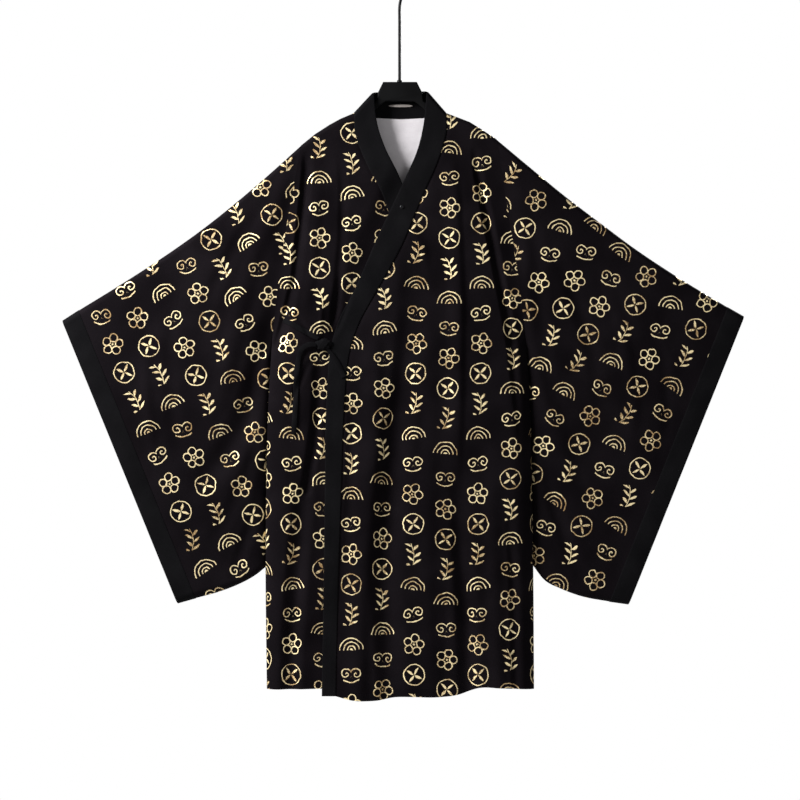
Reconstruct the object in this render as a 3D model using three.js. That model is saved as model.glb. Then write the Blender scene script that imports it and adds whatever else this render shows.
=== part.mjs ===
import * as THREE from 'three';

// A crossed-collar hanfu cloak with wide sleeves, hanging flat on a hanger.
// Millimetres. +X is to the viewer's right, the front faces -Y and +Z is up.
// The origin is where a rail touches the inside of the hook.
// Left and right are the wearer's, so the left side is at +X.

// Cloth
const WALL = 1.6;
const BAND_WALL = 2;
const SEAM_GAP = 0.3;
const SIDE_CLEAR = 0.2; // more room where front and back round to each other
const EDGE_DEPTH = 0.25; // least half depth, at the shoulders and the sides
const LAYER_STEP = 6.5; // the right front lies this far behind the left one where they cross
const LAYER_EASE = 45; // and comes back to the front over this width
const LAYER_FROM_Z = -250;
const LAYER_RUN = 60;

// Half depths of the hollow inside the cloth
const SHOULDER_DEPTH = 10.5;
const HEM_DEPTH = 31;
const DEPTH_FROM_Z = -320;
const DEPTH_RUN = 750;
const ARMHOLE_DEPTH = 10;
const SLEEVE_DEPTH = 13;
const RIDGE_ROUND = 10;
const SIDE_ROUND = 42;
const SLEEVE_ROOT_ROUND = 40;
const SLEEVE_BOTTOM_ROUND = 14;

// Folds fade out over these distances from the shoulder line and from the sides
const FOLD_FADE_TOP = 70;
const FOLD_FADE_SIDE = 45;

// Height of the hem at the sides, and the armhole and the sleeve's foot as parts of the side's length
const HEM_Z = -1368;
const BACK_HEM_RISE = 3;
const ARMHOLE_ROUND_FROM = 0.3;
const UNDERARM = 0.375;
const SLEEVE_FOOT = 0.775;

// The panels follow the shoulder's arch down to here, and the hem's wave from here on
const ARCH_END = 0.2;
const HEM_WAVE_FROM = 0.85;

// The neck band's tips, as parts of the shoulders' half widths
const NECK_TIP = { right: -0.4656, left: 0.4725 };

const CUFF_WIDTH = 36;

const RIGHT = { name: 'right', sign: -1, shoulder: 189, shoulderZ: -337 };
const LEFT = { name: 'left', sign: 1, shoulder: 182, shoulderZ: -325 };

// Names the columns of a table
const table = (columns, rows) =>
  rows.map((row) => Object.fromEntries(columns.map((column, k) => [column, row[k]])));

// Top of the cloth, from shoulder to shoulder, with the neck band's tips at the middle
const SHOULDER_LINE = table(['x', 'z'], [
  [-189, -337],
  [-162, -315],
  [-135, -297.5],
  [-114, -286],
  [-88, -275],
  [-53, -237],
  [51, -235],
  [86, -275],
  [110, -284],
  [131, -292],
  [152, -305],
  [182, -325],
]);

// Half width of the body on each side, from the shoulder (down 0) to the hem (down 1)
const SIDE_LINE = table(['down', 'right', 'left'], [
  [0, 189, 182],
  [0.15, 217, 207],
  [0.3, 238, 230],
  [0.45, 250, 244],
  [0.65, 255.5, 250],
  [0.775, 256, 251.5],
  [1, 253.5, 253],
]);

// Left front, on top: free edge of its band, and the seam between band and panel
const LEFT_FRONT = table(['down', 'freeX', 'freeZ', 'seamX', 'seamZ'], [
  [0, 51, -235, 86, -275],
  [0.04, 45, -286, 86.5, -311],
  [0.095, 32, -345, 70, -368],
  [0.15, 6, -405, 44, -427],
  [0.245, -44, -512, -2, -535],
  [0.325, -91, -619, -55, -630],
  [0.355, -112, -658, -76, -668],
  [0.4, -131, -715, -96, -725],
  [0.48, -140, -820, -106, -820],
  [0.625, -143, -980, -112, -980],
  [0.83, -146, -1200, -119, -1200],
  [1, -149, -1380, -123, -1380],
]);

// Right front, underneath below the crossing
const RIGHT_FRONT = table(['down', 'freeX', 'freeZ', 'seamX', 'seamZ'], [
  [0, -53, -237, -88, -275],
  [0.04, -46, -286, -86, -313],
  [0.095, -30, -339, -66, -368],
  [0.15, -2, -396, -38, -421],
  [0.245, 40, -505, 0, -527],
  [0.325, 89, -619, 53, -630],
  [0.355, 110, -658, 74, -668],
  [0.4, 129, -715, 94, -725],
  [0.48, 138, -820, 104, -820],
  [0.625, 141, -980, 110, -980],
  [0.83, 144, -1200, 117, -1200],
  [1, 147, -1362, 121, -1362],
]);

// How far the left front's hem hangs above the straight line between its corners
const HEM_WAVE = table(['x', 'rise'], [
  [-123, 0],
  [-91, -9],
  [-46, -11],
  [-8, -6],
  [76, -8],
  [112, -4],
  [150, 7],
  [188, 5],
  [253, 0],
]);

// Seam between the back and the neck band
const NECK_SEAM = table(['x', 'z'], [
  [-88, -275],
  [-80, -278.5],
  [-60, -283],
  [0, -286],
  [60, -283],
  [78, -278.5],
  [86, -275],
]);

// Upper fold and lower seam of the sleeves, from the body (along 0) to the cuff band (along 1)
const SLEEVE_TOP = table(['along', 'right', 'left'], [
  [0, -337, -325],
  [0.15, -394, -380],
  [0.3, -448, -434],
  [0.45, -498, -484],
  [0.6, -543, -533],
  [0.8, -598, -591],
  [1, -650, -644],
]);
const SLEEVE_BOTTOM = table(['along', 'right', 'left'], [
  [0, -1136, -1133],
  [0.15, -1152, -1161],
  [0.35, -1167, -1177],
  [0.65, -1183, -1193],
  [1, -1196, -1202.5],
]);
const SLEEVE_REACH = { right: { top: -611, bottom: -389 }, left: { top: 620.5, bottom: 396.5 } };
const CUFF_EDGE = {
  right: { top: [-642, -670], bottom: [-423.7, -1205.7] },
  left: { top: [652, -662], bottom: [433, -1207.6] },
};

// Largest folds, each a soft trough (height below 0) or ridge along a path
const fold = (width, rows) => ({ width, path: table(['x', 'z', 'height'], rows) });
const FRONT_FOLDS = [
  fold(38, [
    [45, -500, 0], [17, -630, -6], [-2, -772, -8],
    [-21, -962, -9], [-30, -1152, -9], [-21, -1400, -7],
  ]),
  fold(28, [[104, -960, 0], [118, -1090, -6], [135, -1400, -9]]),
  fold(26, [[-150, -760, 0], [-168, -980, -6], [-185, -1160, -8], [-205, -1400, -8]]),
  fold(30, [[93, -370, 0], [95, -450, 3], [106, -580, 4], [112, -960, 5], [80, -1180, 2]]),
  fold(40, [[-64, -760, 0], [-59, -900, 5], [-62, -1200, 5], [-75, -1400, 6]]),
  fold(24, [[-158, -350, 0], [-172, -440, -3], [-184, -563, -4], [-205, -690, -3], [-212, -800, 0]]),
  fold(24, [
    [140, -340, -1], [158, -430, -5], [174, -516, -6],
    [196, -658, -5], [212, -800, -4], [222, -960, 0],
  ]),
  fold(22, [[176, -1180, 0], [184, -1260, 4], [190, -1400, 6]]),
];
const BACK_FOLDS = [
  fold(38, [[18, -520, 0], [4, -760, -6], [-12, -1100, -8], [-6, -1400, -8]]),
  fold(28, [[-108, -700, 0], [-128, -1000, -7], [-146, -1400, -8]]),
  fold(28, [[112, -640, 0], [124, -980, -6], [150, -1400, -8]]),
  fold(38, [[-58, -900, 0], [-70, -1400, 6]]),
  fold(38, [[66, -860, 0], [78, -1400, 6]]),
  fold(24, [[-160, -380, -2], [-182, -563, -5], [-205, -760, 0]]),
  fold(24, [[152, -370, -2], [178, -540, -5], [202, -740, 0]]),
];
const SLEEVE_FOLDS = [
  fold(46, [[-268, -790, 0], [-315, -905, -5], [-392, -960, 0]]),
  fold(40, [[-300, -980, 0], [-330, -1080, -4], [-372, -1150, 0]]),
  fold(46, [[270, -760, 0], [310, -880, -4], [352, -1010, 0]]),
  fold(40, [[290, -560, 0], [372, -700, -4], [455, -800, 0]]),
];

// Where the cloth is measured: down the side, across the front, across the back and along the sleeve
const DOWN_STATIONS = [
  0, 0.0025, 0.008, 0.018, 0.04, 0.065, 0.095, 0.122, 0.15, 0.18, 0.21, 0.245, 0.285, 0.325, 0.355,
  0.375, 0.4, 0.44, 0.48, 0.55, 0.625, 0.7, 0.775, 0.83, 0.9, 0.96, 1,
];
const SLEEVE_DOWN_STATIONS = [
  0, 0.0025, 0.008, 0.018, 0.04, 0.095, 0.15, 0.21, 0.285, 0.355, 0.4, 0.48, 0.55, 0.625, 0.7,
  0.757, 0.767, 0.7725, 0.775,
];
const FRONT_STATIONS = [
  0, 0.065, 0.13, 0.195, 0.26, 0.325, 0.39, 0.455, 0.52, 0.585, 0.65, 0.72, 0.8, 0.88, 0.94, 0.98,
  0.996, 1,
];
const BACK_STATIONS = [
  -1, -0.997, -0.985, -0.95, -0.89, -0.8, -0.68, -0.56, NECK_TIP.right, -0.45, -0.42, -0.3, -0.15, 0,
  0.15, 0.3, 0.42, 0.455, NECK_TIP.left, 0.56, 0.68, 0.8, 0.89, 0.95, 0.985, 0.997, 1,
];
const BACK_DOWN_STATIONS = [
  0, 0.0025, 0.008, 0.018, 0.04, 0.095, 0.15, 0.21, 0.285, 0.325, 0.355, 0.375, 0.4, 0.48, 0.55,
  0.625, 0.7, 0.775, 0.83, 0.9, 0.96, 1,
];
const SLEEVE_STATIONS = [0, 0.03, 0.08, 0.15, 0.25, 0.37, 0.5, 0.64, 0.78, 0.9, 1];
const BAND_STATIONS = [0, 0.33, 0.67, 1];

// Tie: paths on the front, with how far the strip's middle stands out from the cloth's
const TIE_WIDTH = 10;
const TIE_WALL = 1.5;
const TIE_STEPS = 3; // sections between two rows of a path
const tiePath = (rows) => table(['x', 'z', 'out'], rows);
const TIE_SIDE = tiePath([
  [-222, -668, 2.1], [-204, -677, 2.2], [-186, -687, 3.2], [-170, -696, 5.4], [-155.8, -704, 7.3],
]);
const TIE_LONG_END = tiePath([
  [-159.4, -716, 7.1], [-172, -715, 6.5], [-184, -721, 5], [-192, -738, 3], [-197, -775, 2.1],
  [-199, -830, 2.1], [-202, -885, 2.3],
]);
const TIE_SHORT_END = tiePath([
  [-138.6, -724, 2.6], [-130, -735, 3.1], [-119, -751, 2.6], [-107, -777, 2.3],
]);
const KNOT = { x: -146, z: -713, width: 27, height: 23, depth: 12, seat: 1, round: 14, rings: 10 };

const SNAP = { x: 2, z: -454, radius: 3.4, face: 2.7, thickness: 1.6, sides: 16 };
const LABEL = { z: -259, width: 46, height: 9, thickness: 1, out: 0.4, sides: 28 };

// Hanger
const HANGER = { centreX: -1, thickness: 12, bevel: 1.5, armHeight: 24, seat: 4 };
// Half of its outline, from its centre: the neck plate's side, the arm, its tip and the throat under it
const PLATE_SIDE = table(['x', 'z'], [[32, -216], [42, -236], [44, -252], [66, -266]]);
const ARM_STATIONS = [89, 111, 132, 153, 173];
const ARM_TIP = { reach: 6, drop: 9, underReach: 2, underRise: 5 };
const THROAT = table(['x', 'z'], [[62, -282], [40, -262], [27, -253]]);

// Hook: a rod up from the neck plate, a bend, and a turn round the origin
const ROD = { radius: 2.75, sides: 8, steps: 38 };
const HOOK_RADIUS = 22;
const STEM_HEIGHTS = [-180, -140, -100, -74];
const HOOK_NECK = table(['x', 'z'], [[1, -58], [7, -50]]);
const HOOK_TURN = { from: -50, to: 195, step: 25 };

const FINISHES = {
  printed: new THREE.MeshStandardMaterial({ color: 0x17151a, roughness: 0.85, metalness: 0 }),
  band: new THREE.MeshStandardMaterial({ color: 0x121214, roughness: 0.9, metalness: 0 }),
  label: new THREE.MeshStandardMaterial({ color: 0xd8d4d0, roughness: 0.8, metalness: 0 }),
  hanger: new THREE.MeshStandardMaterial({ color: 0x0c0c0d, roughness: 0.5, metalness: 0 }),
  metal: new THREE.MeshStandardMaterial({ color: 0x111112, roughness: 0.4, metalness: 0.6 }),
};

const garment = new THREE.Group();

const lerp = THREE.MathUtils.lerp;
const clamp01 = (t) => Math.min(Math.max(t, 0), 1);
const smooth = (t) => clamp01(t) ** 2 * (3 - 2 * clamp01(t));
// Quarter circle: 0 at the edge, 1 from t = 1 on
const rounded = (t) => Math.sqrt(1 - (1 - clamp01(t)) ** 2);

// Smooth curve through a table's column, found by its key column
function along(rows, key, at, column) {
  const last = rows.length - 1;
  let k = rows.findIndex((row) => row[key] > at) - 1;
  if (k < 0) k = at <= rows[0][key] ? 0 : last - 1;
  const [a, b] = [rows[k], rows[k + 1]];
  const span = b[key] - a[key];
  const slope = (p, q) => (q[column] - p[column]) / (q[key] - p[key]);
  const inner = slope(a, b);
  const before = k > 0 ? (slope(rows[k - 1], a) + inner) / 2 : inner;
  const after = k + 1 < last ? (slope(b, rows[k + 2]) + inner) / 2 : inner;
  const t = clamp01((at - a[key]) / span);
  return (
    (1 + 2 * t) * (1 - t) ** 2 * a[column] +
    t * (1 - t) ** 2 * span * before +
    t * t * (3 - 2 * t) * b[column] -
    t * t * (1 - t) * span * after
  );
}

// Straight lines between a table's rows
function straight(rows, key, at, column) {
  const k = Math.min(Math.max(rows.findIndex((row) => row[key] > at), 1), rows.length - 1);
  const [a, b] = at >= rows.at(-1)[key] ? rows.slice(-2) : [rows[k - 1], rows[k]];
  return lerp(a[column], b[column], clamp01((at - a[key]) / (b[key] - a[key])));
}

// Height of the nearest stretch of each fold, faded over the fold's width
function foldHeight(folds, x, z) {
  let height = 0;
  for (const { width, path } of folds) {
    let nearest = { distance: width, height: 0 };
    for (let k = 0; k + 1 < path.length; k += 1) {
      const [a, b] = [path[k], path[k + 1]];
      const [dx, dz] = [b.x - a.x, b.z - a.z];
      const t = clamp01(((x - a.x) * dx + (z - a.z) * dz) / (dx * dx + dz * dz));
      const distance = Math.hypot(x - a.x - t * dx, z - a.z - t * dz);
      if (distance < nearest.distance) nearest = { distance, height: lerp(a.height, b.height, t) };
    }
    height += nearest.height * Math.cos((Math.PI / 2) * (nearest.distance / width)) ** 2;
  }
  return height;
}

// Side seam of the body
const sideLength = (side) => side.shoulderZ - HEM_Z;
const sideZ = (side, down) => side.shoulderZ - sideLength(side) * down;
const sideX = (side, down) => along(SIDE_LINE, 'down', down, side.name);
const downAt = (side, z) => clamp01((side.shoulderZ - z) / sideLength(side));
const armholeOpen = (down) =>
  Math.sqrt(1 - clamp01((down - ARMHOLE_ROUND_FROM) / (UNDERARM - ARMHOLE_ROUND_FROM)) ** 2);

// Side edge of a body panel: in the armhole it meets the sleeve, below it rounds to the other panel
function panelEdgeX(side, down) {
  const closed = 1 - armholeOpen(down);
  return sideX(side, down) - SEAM_GAP / 2 - closed * (WALL / 2 + SEAM_GAP + SIDE_CLEAR);
}

// Half depth near the side seam: level with the armhole where it is open, rounding to nothing below it
function fromSeam(depth, down, distance) {
  const open = armholeOpen(down);
  const edge = ARMHOLE_DEPTH * open;
  return edge + (depth - edge) * lerp(rounded(distance), smooth(distance), open);
}

// Half depth of the body's cloth at a place seen from the front
function bodyDepth(x, z, folds) {
  const side = x < 0 ? RIGHT : LEFT;
  const down = downAt(side, z);
  const fromRidge = straight(SHOULDER_LINE, 'x', x, 'z') - z;
  const fromSide = Math.max(panelEdgeX(side, down) - Math.abs(x), 0);
  const core = lerp(SHOULDER_DEPTH, HEM_DEPTH, smooth((DEPTH_FROM_Z - z) / DEPTH_RUN));
  const depth = fromSeam(core, down, fromSide / SIDE_ROUND);
  const fade = smooth(fromRidge / FOLD_FADE_TOP) * smooth(fromSide / FOLD_FADE_SIDE);
  return depth * rounded(fromRidge / RIDGE_ROUND) + foldHeight(folds, x, z) * fade;
}

// The right front goes behind the left one near that one's free edge
const FREE_EDGE = LEFT_FRONT.map((row) => ({ below: -row.freeZ, x: row.freeX }));
function layerShift(x, z) {
  const edge = straight(FREE_EDGE, 'below', -z, 'x');
  return LAYER_STEP * smooth((x - edge + LAYER_EASE) / LAYER_EASE) * smooth((LAYER_FROM_Z - z) / LAYER_RUN);
}
const leftFrontDepth = (x, z) => bodyDepth(x, z, FRONT_FOLDS);
const rightFrontDepth = (x, z) => bodyDepth(x, z, FRONT_FOLDS) - layerShift(x, z);

// Point on the cloth, kept clear of the seam at the shoulder and at the sides
const frontPoint = (x, z, depth) => new THREE.Vector3(x, -Math.max(depth, EDGE_DEPTH), z);
const backPoint = (x, z) => new THREE.Vector3(x, Math.max(bodyDepth(x, z, BACK_FOLDS), EDGE_DEPTH), z);

// Closed wall of even thickness through a grid of points. A loop's rows close on themselves.
function wall(name, finish, rows, { loop = false, thickness = WALL } = {}) {
  const [height, width] = [rows.length, rows[0].length];
  const limit = (k, count) => Math.min(Math.max(k, 0), count - 1);
  const at = (i, j) => rows[limit(i, height)][loop ? (j + width) % width : limit(j, width)];
  const vertices = [];
  for (const offset of [thickness / 2, -thickness / 2]) {
    for (let i = 0; i < height; i += 1) {
      for (let j = 0; j < width; j += 1) {
        const across = at(i, j + 1).clone().sub(at(i, j - 1));
        const downwards = at(i + 1, j).clone().sub(at(i - 1, j));
        const normal = across.cross(downwards).normalize();
        vertices.push(at(i, j).clone().addScaledVector(normal, offset));
      }
    }
  }
  const outer = (i, j) => i * width + (j % width);
  const inner = (i, j) => height * width + outer(i, j);
  const faces = [];
  const quad = (a, b, c, d) => faces.push([a, b, c], [a, c, d]);
  const columns = loop ? width : width - 1;
  for (let i = 0; i + 1 < height; i += 1) {
    for (let j = 0; j < columns; j += 1) {
      quad(outer(i, j), outer(i, j + 1), outer(i + 1, j + 1), outer(i + 1, j));
      quad(inner(i, j), inner(i + 1, j), inner(i + 1, j + 1), inner(i, j + 1));
    }
  }
  for (let j = 0; j < columns; j += 1) {
    quad(outer(0, j), inner(0, j), inner(0, j + 1), outer(0, j + 1));
    quad(outer(height - 1, j), outer(height - 1, j + 1), inner(height - 1, j + 1), inner(height - 1, j));
  }
  if (!loop) {
    for (let i = 0; i + 1 < height; i += 1) {
      quad(outer(i, 0), outer(i + 1, 0), inner(i + 1, 0), inner(i, 0));
      quad(outer(i, width - 1), inner(i, width - 1), inner(i + 1, width - 1), outer(i + 1, width - 1));
    }
  }
  add(name, finish, closedGeometry(vertices, faces));
}

// Indexed geometry whose faces point outwards
function closedGeometry(vertices, faces) {
  const volume = faces.reduce(
    (sum, [a, b, c]) => sum + vertices[a].dot(vertices[b].clone().cross(vertices[c])),
    0,
  );
  const index = faces.flatMap(([a, b, c]) => (volume > 0 ? [a, b, c] : [a, c, b]));
  const geometry = new THREE.BufferGeometry();
  const position = new THREE.Float32BufferAttribute(vertices.flatMap((v) => v.toArray()), 3);
  geometry.setAttribute('position', position);
  geometry.setIndex(index);
  geometry.computeVertexNormals();
  return geometry;
}

function add(name, finish, geometry) {
  const mesh = new THREE.Mesh(geometry, FINISHES[finish]);
  mesh.name = name;
  garment.add(mesh);
}

// Front panel, from its band's seam to the side
function frontPanel(side, rows, depth, hemRise) {
  const grid = DOWN_STATIONS.map((down) => {
    const seam = [along(rows, 'down', down, 'seamX'), along(rows, 'down', down, 'seamZ')];
    const edge = [side.sign * panelEdgeX(side, down), sideZ(side, down)];
    return FRONT_STATIONS.map((across) => {
      const x = lerp(seam[0] + (side.sign * SEAM_GAP) / 2, edge[0], across);
      const level = lerp(seam[1], edge[1], across);
      const startX = lerp(rows[0].seamX, side.sign * side.shoulder, across);
      const arch = straight(SHOULDER_LINE, 'x', startX, 'z') - lerp(rows[0].seamZ, side.shoulderZ, across);
      const upper = arch * (1 - smooth(down / ARCH_END));
      const wave = smooth((down - HEM_WAVE_FROM) / (1 - HEM_WAVE_FROM));
      const z = level + upper + hemRise(x) * wave;
      return frontPoint(x, z, depth(x, z));
    });
  });
  wall(`front_${side.name}`, 'printed', grid);
}

// Front band, from its free edge to its seam
function frontBand(side, rows, depth) {
  const grid = DOWN_STATIONS.map((down) => {
    const free = [along(rows, 'down', down, 'freeX'), along(rows, 'down', down, 'freeZ')];
    const seam = [along(rows, 'down', down, 'seamX'), along(rows, 'down', down, 'seamZ')];
    return BAND_STATIONS.map((across) => {
      const x = lerp(free[0], seam[0] - (side.sign * SEAM_GAP) / 2, across);
      const z = lerp(free[1], seam[1], across);
      return frontPoint(x, z, depth(x, z));
    });
  });
  wall(`band_${side.name}`, 'band', grid, { thickness: BAND_WALL });
}

// Back panel: the shoulder line and the neck seam are its top
function backTop(x) {
  const insideNeck = x > NECK_SEAM[0].x && x < NECK_SEAM.at(-1).x;
  return insideNeck ? straight(NECK_SEAM, 'x', x, 'z') - SEAM_GAP : straight(SHOULDER_LINE, 'x', x, 'z');
}
function backPanel() {
  const grid = BACK_DOWN_STATIONS.map((down) =>
    BACK_STATIONS.map((across) => {
      const side = across < 0 ? RIGHT : LEFT;
      const x = across * panelEdgeX(side, down);
      const hem = HEM_Z + BACK_HEM_RISE * (1 - across * across);
      const z = lerp(backTop(across * side.shoulder), hem, down);
      return backPoint(x, z);
    }),
  );
  wall('back', 'printed', grid);
}

// Neck band behind the neck: it stands up from the back's neck seam
function neckBand() {
  const stations = BACK_STATIONS.filter((across) => across >= NECK_TIP.right && across <= NECK_TIP.left);
  const tips = [RIGHT_FRONT[0], LEFT_FRONT[0]];
  const [first, last] = [stations[0] * RIGHT.shoulder, stations.at(-1) * LEFT.shoulder];
  const grid = stations.map((across) => {
    const seamX = across * (across < 0 ? RIGHT : LEFT).shoulder;
    const seam = backPoint(seamX, straight(NECK_SEAM, 'x', seamX, 'z'));
    const part = (seamX - first) / (last - first);
    const fromTip = Math.min(seamX - first, last - seamX);
    const depth = Math.max(SHOULDER_DEPTH * rounded(fromTip / RIDGE_ROUND), EDGE_DEPTH);
    const free = new THREE.Vector3(
      lerp(tips[0].freeX, tips[1].freeX, part),
      depth,
      lerp(tips[0].freeZ, tips[1].freeZ, part),
    );
    return BAND_STATIONS.map((up) => seam.clone().lerp(free, up));
  });
  wall('band_neck', 'band', grid, { thickness: BAND_WALL });
}

// Loop of the sleeve or its cuff: down the front wall, then up the back wall
function sleeveLoop(top, bottom, bow, depth) {
  const length = Math.hypot(bottom[0] - top[0], bottom[1] - top[1]);
  const place = (down, facing) => {
    const part = down / SLEEVE_FOOT;
    const upper = rounded((part * length) / RIDGE_ROUND);
    const lower = rounded(((1 - part) * length) / SLEEVE_BOTTOM_ROUND);
    const x = lerp(top[0], bottom[0], part) + bow(down);
    const z = lerp(top[1], bottom[1], part);
    const isFold = part === 0 || part === 1;
    const y = isFold ? 0 : facing * Math.max(depth(x, z, down) * upper * lower, WALL / 2 + EDGE_DEPTH / 2);
    return new THREE.Vector3(x, y, z);
  };
  const backStations = SLEEVE_DOWN_STATIONS.slice(1, -1).reverse();
  return [
    ...SLEEVE_DOWN_STATIONS.map((down) => place(down, -1)),
    ...backStations.map((down) => place(down, 1)),
  ];
}

const sleeveDepth = (x, z) => SLEEVE_DEPTH + foldHeight(SLEEVE_FOLDS, x, z);

function sleeve(side) {
  const reach = SLEEVE_REACH[side.name];
  const root = [side.sign * sideX(side, 0), side.sign * sideX(side, SLEEVE_FOOT)];
  const rows = SLEEVE_STATIONS.map((out) => {
    const top = [lerp(root[0], reach.top, out), along(SLEEVE_TOP, 'along', out, side.name)];
    const bottom = [lerp(root[1], reach.bottom, out), along(SLEEVE_BOTTOM, 'along', out, side.name)];
    const bow = (down) => {
      const line = lerp(root[0], root[1], down / SLEEVE_FOOT);
      const curve = side.sign * sideX(side, down) - line;
      return curve * (1 - out) ** 2 + side.sign * SEAM_GAP * (1 - out);
    };
    const depth = (x, z, down) => {
      const lengths = [Math.abs(reach.top - root[0]), Math.abs(reach.bottom - root[1])];
      const length = lerp(...lengths, down / SLEEVE_FOOT);
      return fromSeam(sleeveDepth(x, z), down, (out * length) / SLEEVE_ROOT_ROUND);
    };
    return sleeveLoop(top, bottom, bow, depth);
  });
  wall(`sleeve_${side.name}`, 'printed', rows, { loop: true });
}

// Cuff band, from the sleeve's end to the open mouth
function cuff(side) {
  const reach = SLEEVE_REACH[side.name];
  const inside = {
    top: [reach.top, along(SLEEVE_TOP, 'along', 1, side.name)],
    bottom: [reach.bottom, along(SLEEVE_BOTTOM, 'along', 1, side.name)],
  };
  const edge = CUFF_EDGE[side.name];
  const rows = [SEAM_GAP / CUFF_WIDTH, 0.5, 1].map((out) => {
    const top = [0, 1].map((k) => lerp(inside.top[k], edge.top[k], out));
    const bottom = [0, 1].map((k) => lerp(inside.bottom[k], edge.bottom[k], out));
    return sleeveLoop(top, bottom, () => 0, sleeveDepth);
  });
  wall(`cuff_${side.name}`, 'band', rows, { loop: true, thickness: BAND_WALL });
}

// Flat strip of the tie, along its path and standing out from the front
function tieStrip(name, path, surface) {
  const curve = new THREE.CatmullRomCurve3(
    path.map(({ x, z, out }) => new THREE.Vector3(x, -(surface(x, z) + out), z)),
  );
  const steps = TIE_STEPS * (path.length - 1);
  const rows = curve.getSpacedPoints(steps).map((point, k) => {
    const tangent = curve.getTangentAt(k / steps);
    const across = new THREE.Vector3(0, -1, 0).cross(tangent).setLength(TIE_WIDTH / 2);
    return [point.clone().sub(across), point, point.clone().add(across)];
  });
  wall(name, 'band', rows, { thickness: TIE_WALL });
}

function tie() {
  tieStrip('tie_side', TIE_SIDE, rightFrontDepth);
  tieStrip('tie_long_end', TIE_LONG_END, rightFrontDepth);
  tieStrip('tie_short_end', TIE_SHORT_END, leftFrontDepth);
  const knot = new THREE.SphereGeometry(0.5, KNOT.round, KNOT.rings);
  knot.deleteAttribute('uv');
  knot.scale(KNOT.width, KNOT.depth, KNOT.height);
  const front = rightFrontDepth(KNOT.x, KNOT.z) + WALL / 2 + KNOT.seat + KNOT.depth / 2;
  knot.translate(KNOT.x, -front, KNOT.z);
  add('tie_knot', 'band', knot);
}

// Snap on the band where the fronts cross
function snap() {
  const cap = new THREE.CylinderGeometry(SNAP.radius, SNAP.face, SNAP.thickness, SNAP.sides);
  const front = leftFrontDepth(SNAP.x, SNAP.z) + BAND_WALL / 2 + SEAM_GAP + SNAP.thickness / 2;
  cap.translate(SNAP.x, -front, SNAP.z);
  add('snap', 'metal', cap);
}

// Shape in the XZ plane, centred on a depth
function plate(shape, centreY, options) {
  const geometry = new THREE.ExtrudeGeometry(shape, options);
  geometry.rotateX(Math.PI / 2);
  geometry.computeBoundingBox();
  const box = geometry.boundingBox;
  geometry.translate(0, centreY - (box.min.y + box.max.y) / 2, 0);
  return geometry;
}

// Blank oval label inside the neck band
function label() {
  const shape = new THREE.Shape();
  shape.absellipse(0, LABEL.z, LABEL.width / 2, LABEL.height / 2, 0, 2 * Math.PI);
  const centreY = SHOULDER_DEPTH - BAND_WALL / 2 - LABEL.out - LABEL.thickness / 2;
  const options = { depth: LABEL.thickness, bevelEnabled: false, curveSegments: LABEL.sides / 2 };
  add('label', 'label', plate(shape, centreY, options));
}

// Flat hanger: neck plate, and two arms that follow the shoulders just under the cloth
function hangerBody() {
  const upper = (x) => straight(SHOULDER_LINE, 'x', x, 'z') - HANGER.seat;
  const half = (sign) => {
    const place = (x) => HANGER.centreX + sign * x;
    const last = ARM_STATIONS.at(-1);
    const end = upper(place(last));
    return [
      ...PLATE_SIDE.map(({ x, z }) => [place(x), z]),
      ...ARM_STATIONS.map((x) => [place(x), upper(place(x))]),
      [place(last + ARM_TIP.reach), end - ARM_TIP.drop],
      [place(last + ARM_TIP.underReach), end - HANGER.armHeight + ARM_TIP.underRise],
      ...ARM_STATIONS.slice(0, -1).reverse().map((x) => [place(x), upper(place(x)) - HANGER.armHeight]),
      ...THROAT.map(({ x, z }) => [place(x), z]),
    ];
  };
  const outline = [...half(1), ...half(-1).reverse()];
  const shape = new THREE.Shape(outline.map(([x, z]) => new THREE.Vector2(x, z)));
  const options = {
    depth: HANGER.thickness - 2 * HANGER.bevel,
    bevelThickness: HANGER.bevel,
    bevelSize: HANGER.bevel,
    bevelOffset: -HANGER.bevel,
    bevelSegments: 1,
  };
  add('hanger', 'hanger', plate(shape, 0, options));
}

function hangerHook() {
  const centre = HOOK_RADIUS + ROD.radius;
  const foot = PLATE_SIDE[0].z + SEAM_GAP;
  const stem = [foot, ...STEM_HEIGHTS].map((z) => new THREE.Vector3(0, 0, z));
  const bend = HOOK_NECK.map(({ x, z }) => new THREE.Vector3(x, 0, z));
  const turn = [];
  for (let degrees = HOOK_TURN.from; degrees <= HOOK_TURN.to; degrees += HOOK_TURN.step) {
    const angle = THREE.MathUtils.degToRad(degrees);
    turn.push(new THREE.Vector3(centre * Math.cos(angle), 0, centre * Math.sin(angle) - HOOK_RADIUS));
  }
  const path = new THREE.CatmullRomCurve3([...stem, ...bend, ...turn]);
  const section = new THREE.Shape();
  section.absarc(0, 0, ROD.radius, 0, 2 * Math.PI);
  const options = { steps: ROD.steps, extrudePath: path, curveSegments: ROD.sides / 2 };
  add('hook', 'metal', new THREE.ExtrudeGeometry(section, options));
}

backPanel();
frontPanel(RIGHT, RIGHT_FRONT, rightFrontDepth, () => 0);
frontPanel(LEFT, LEFT_FRONT, leftFrontDepth, (x) => along(HEM_WAVE, 'x', x, 'rise'));
neckBand();
frontBand(RIGHT, RIGHT_FRONT, rightFrontDepth);
frontBand(LEFT, LEFT_FRONT, leftFrontDepth);
for (const side of [RIGHT, LEFT]) {
  sleeve(side);
  cuff(side);
}
tie();
snap();
label();
hangerBody();
hangerHook();

export default garment;
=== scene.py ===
"""Looks of a crossed-collar hanfu cloak that hangs flat on a slim hanger.

Metres, in the frame's own axes: +Z is up, the front faces -Y and +X is the wearer's left.
"""

import logging
import math
from dataclasses import dataclass
from enum import Enum
from typing import Callable, Sequence

import bmesh
import bpy
import numpy as np
from mathutils import Matrix, Vector


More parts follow.
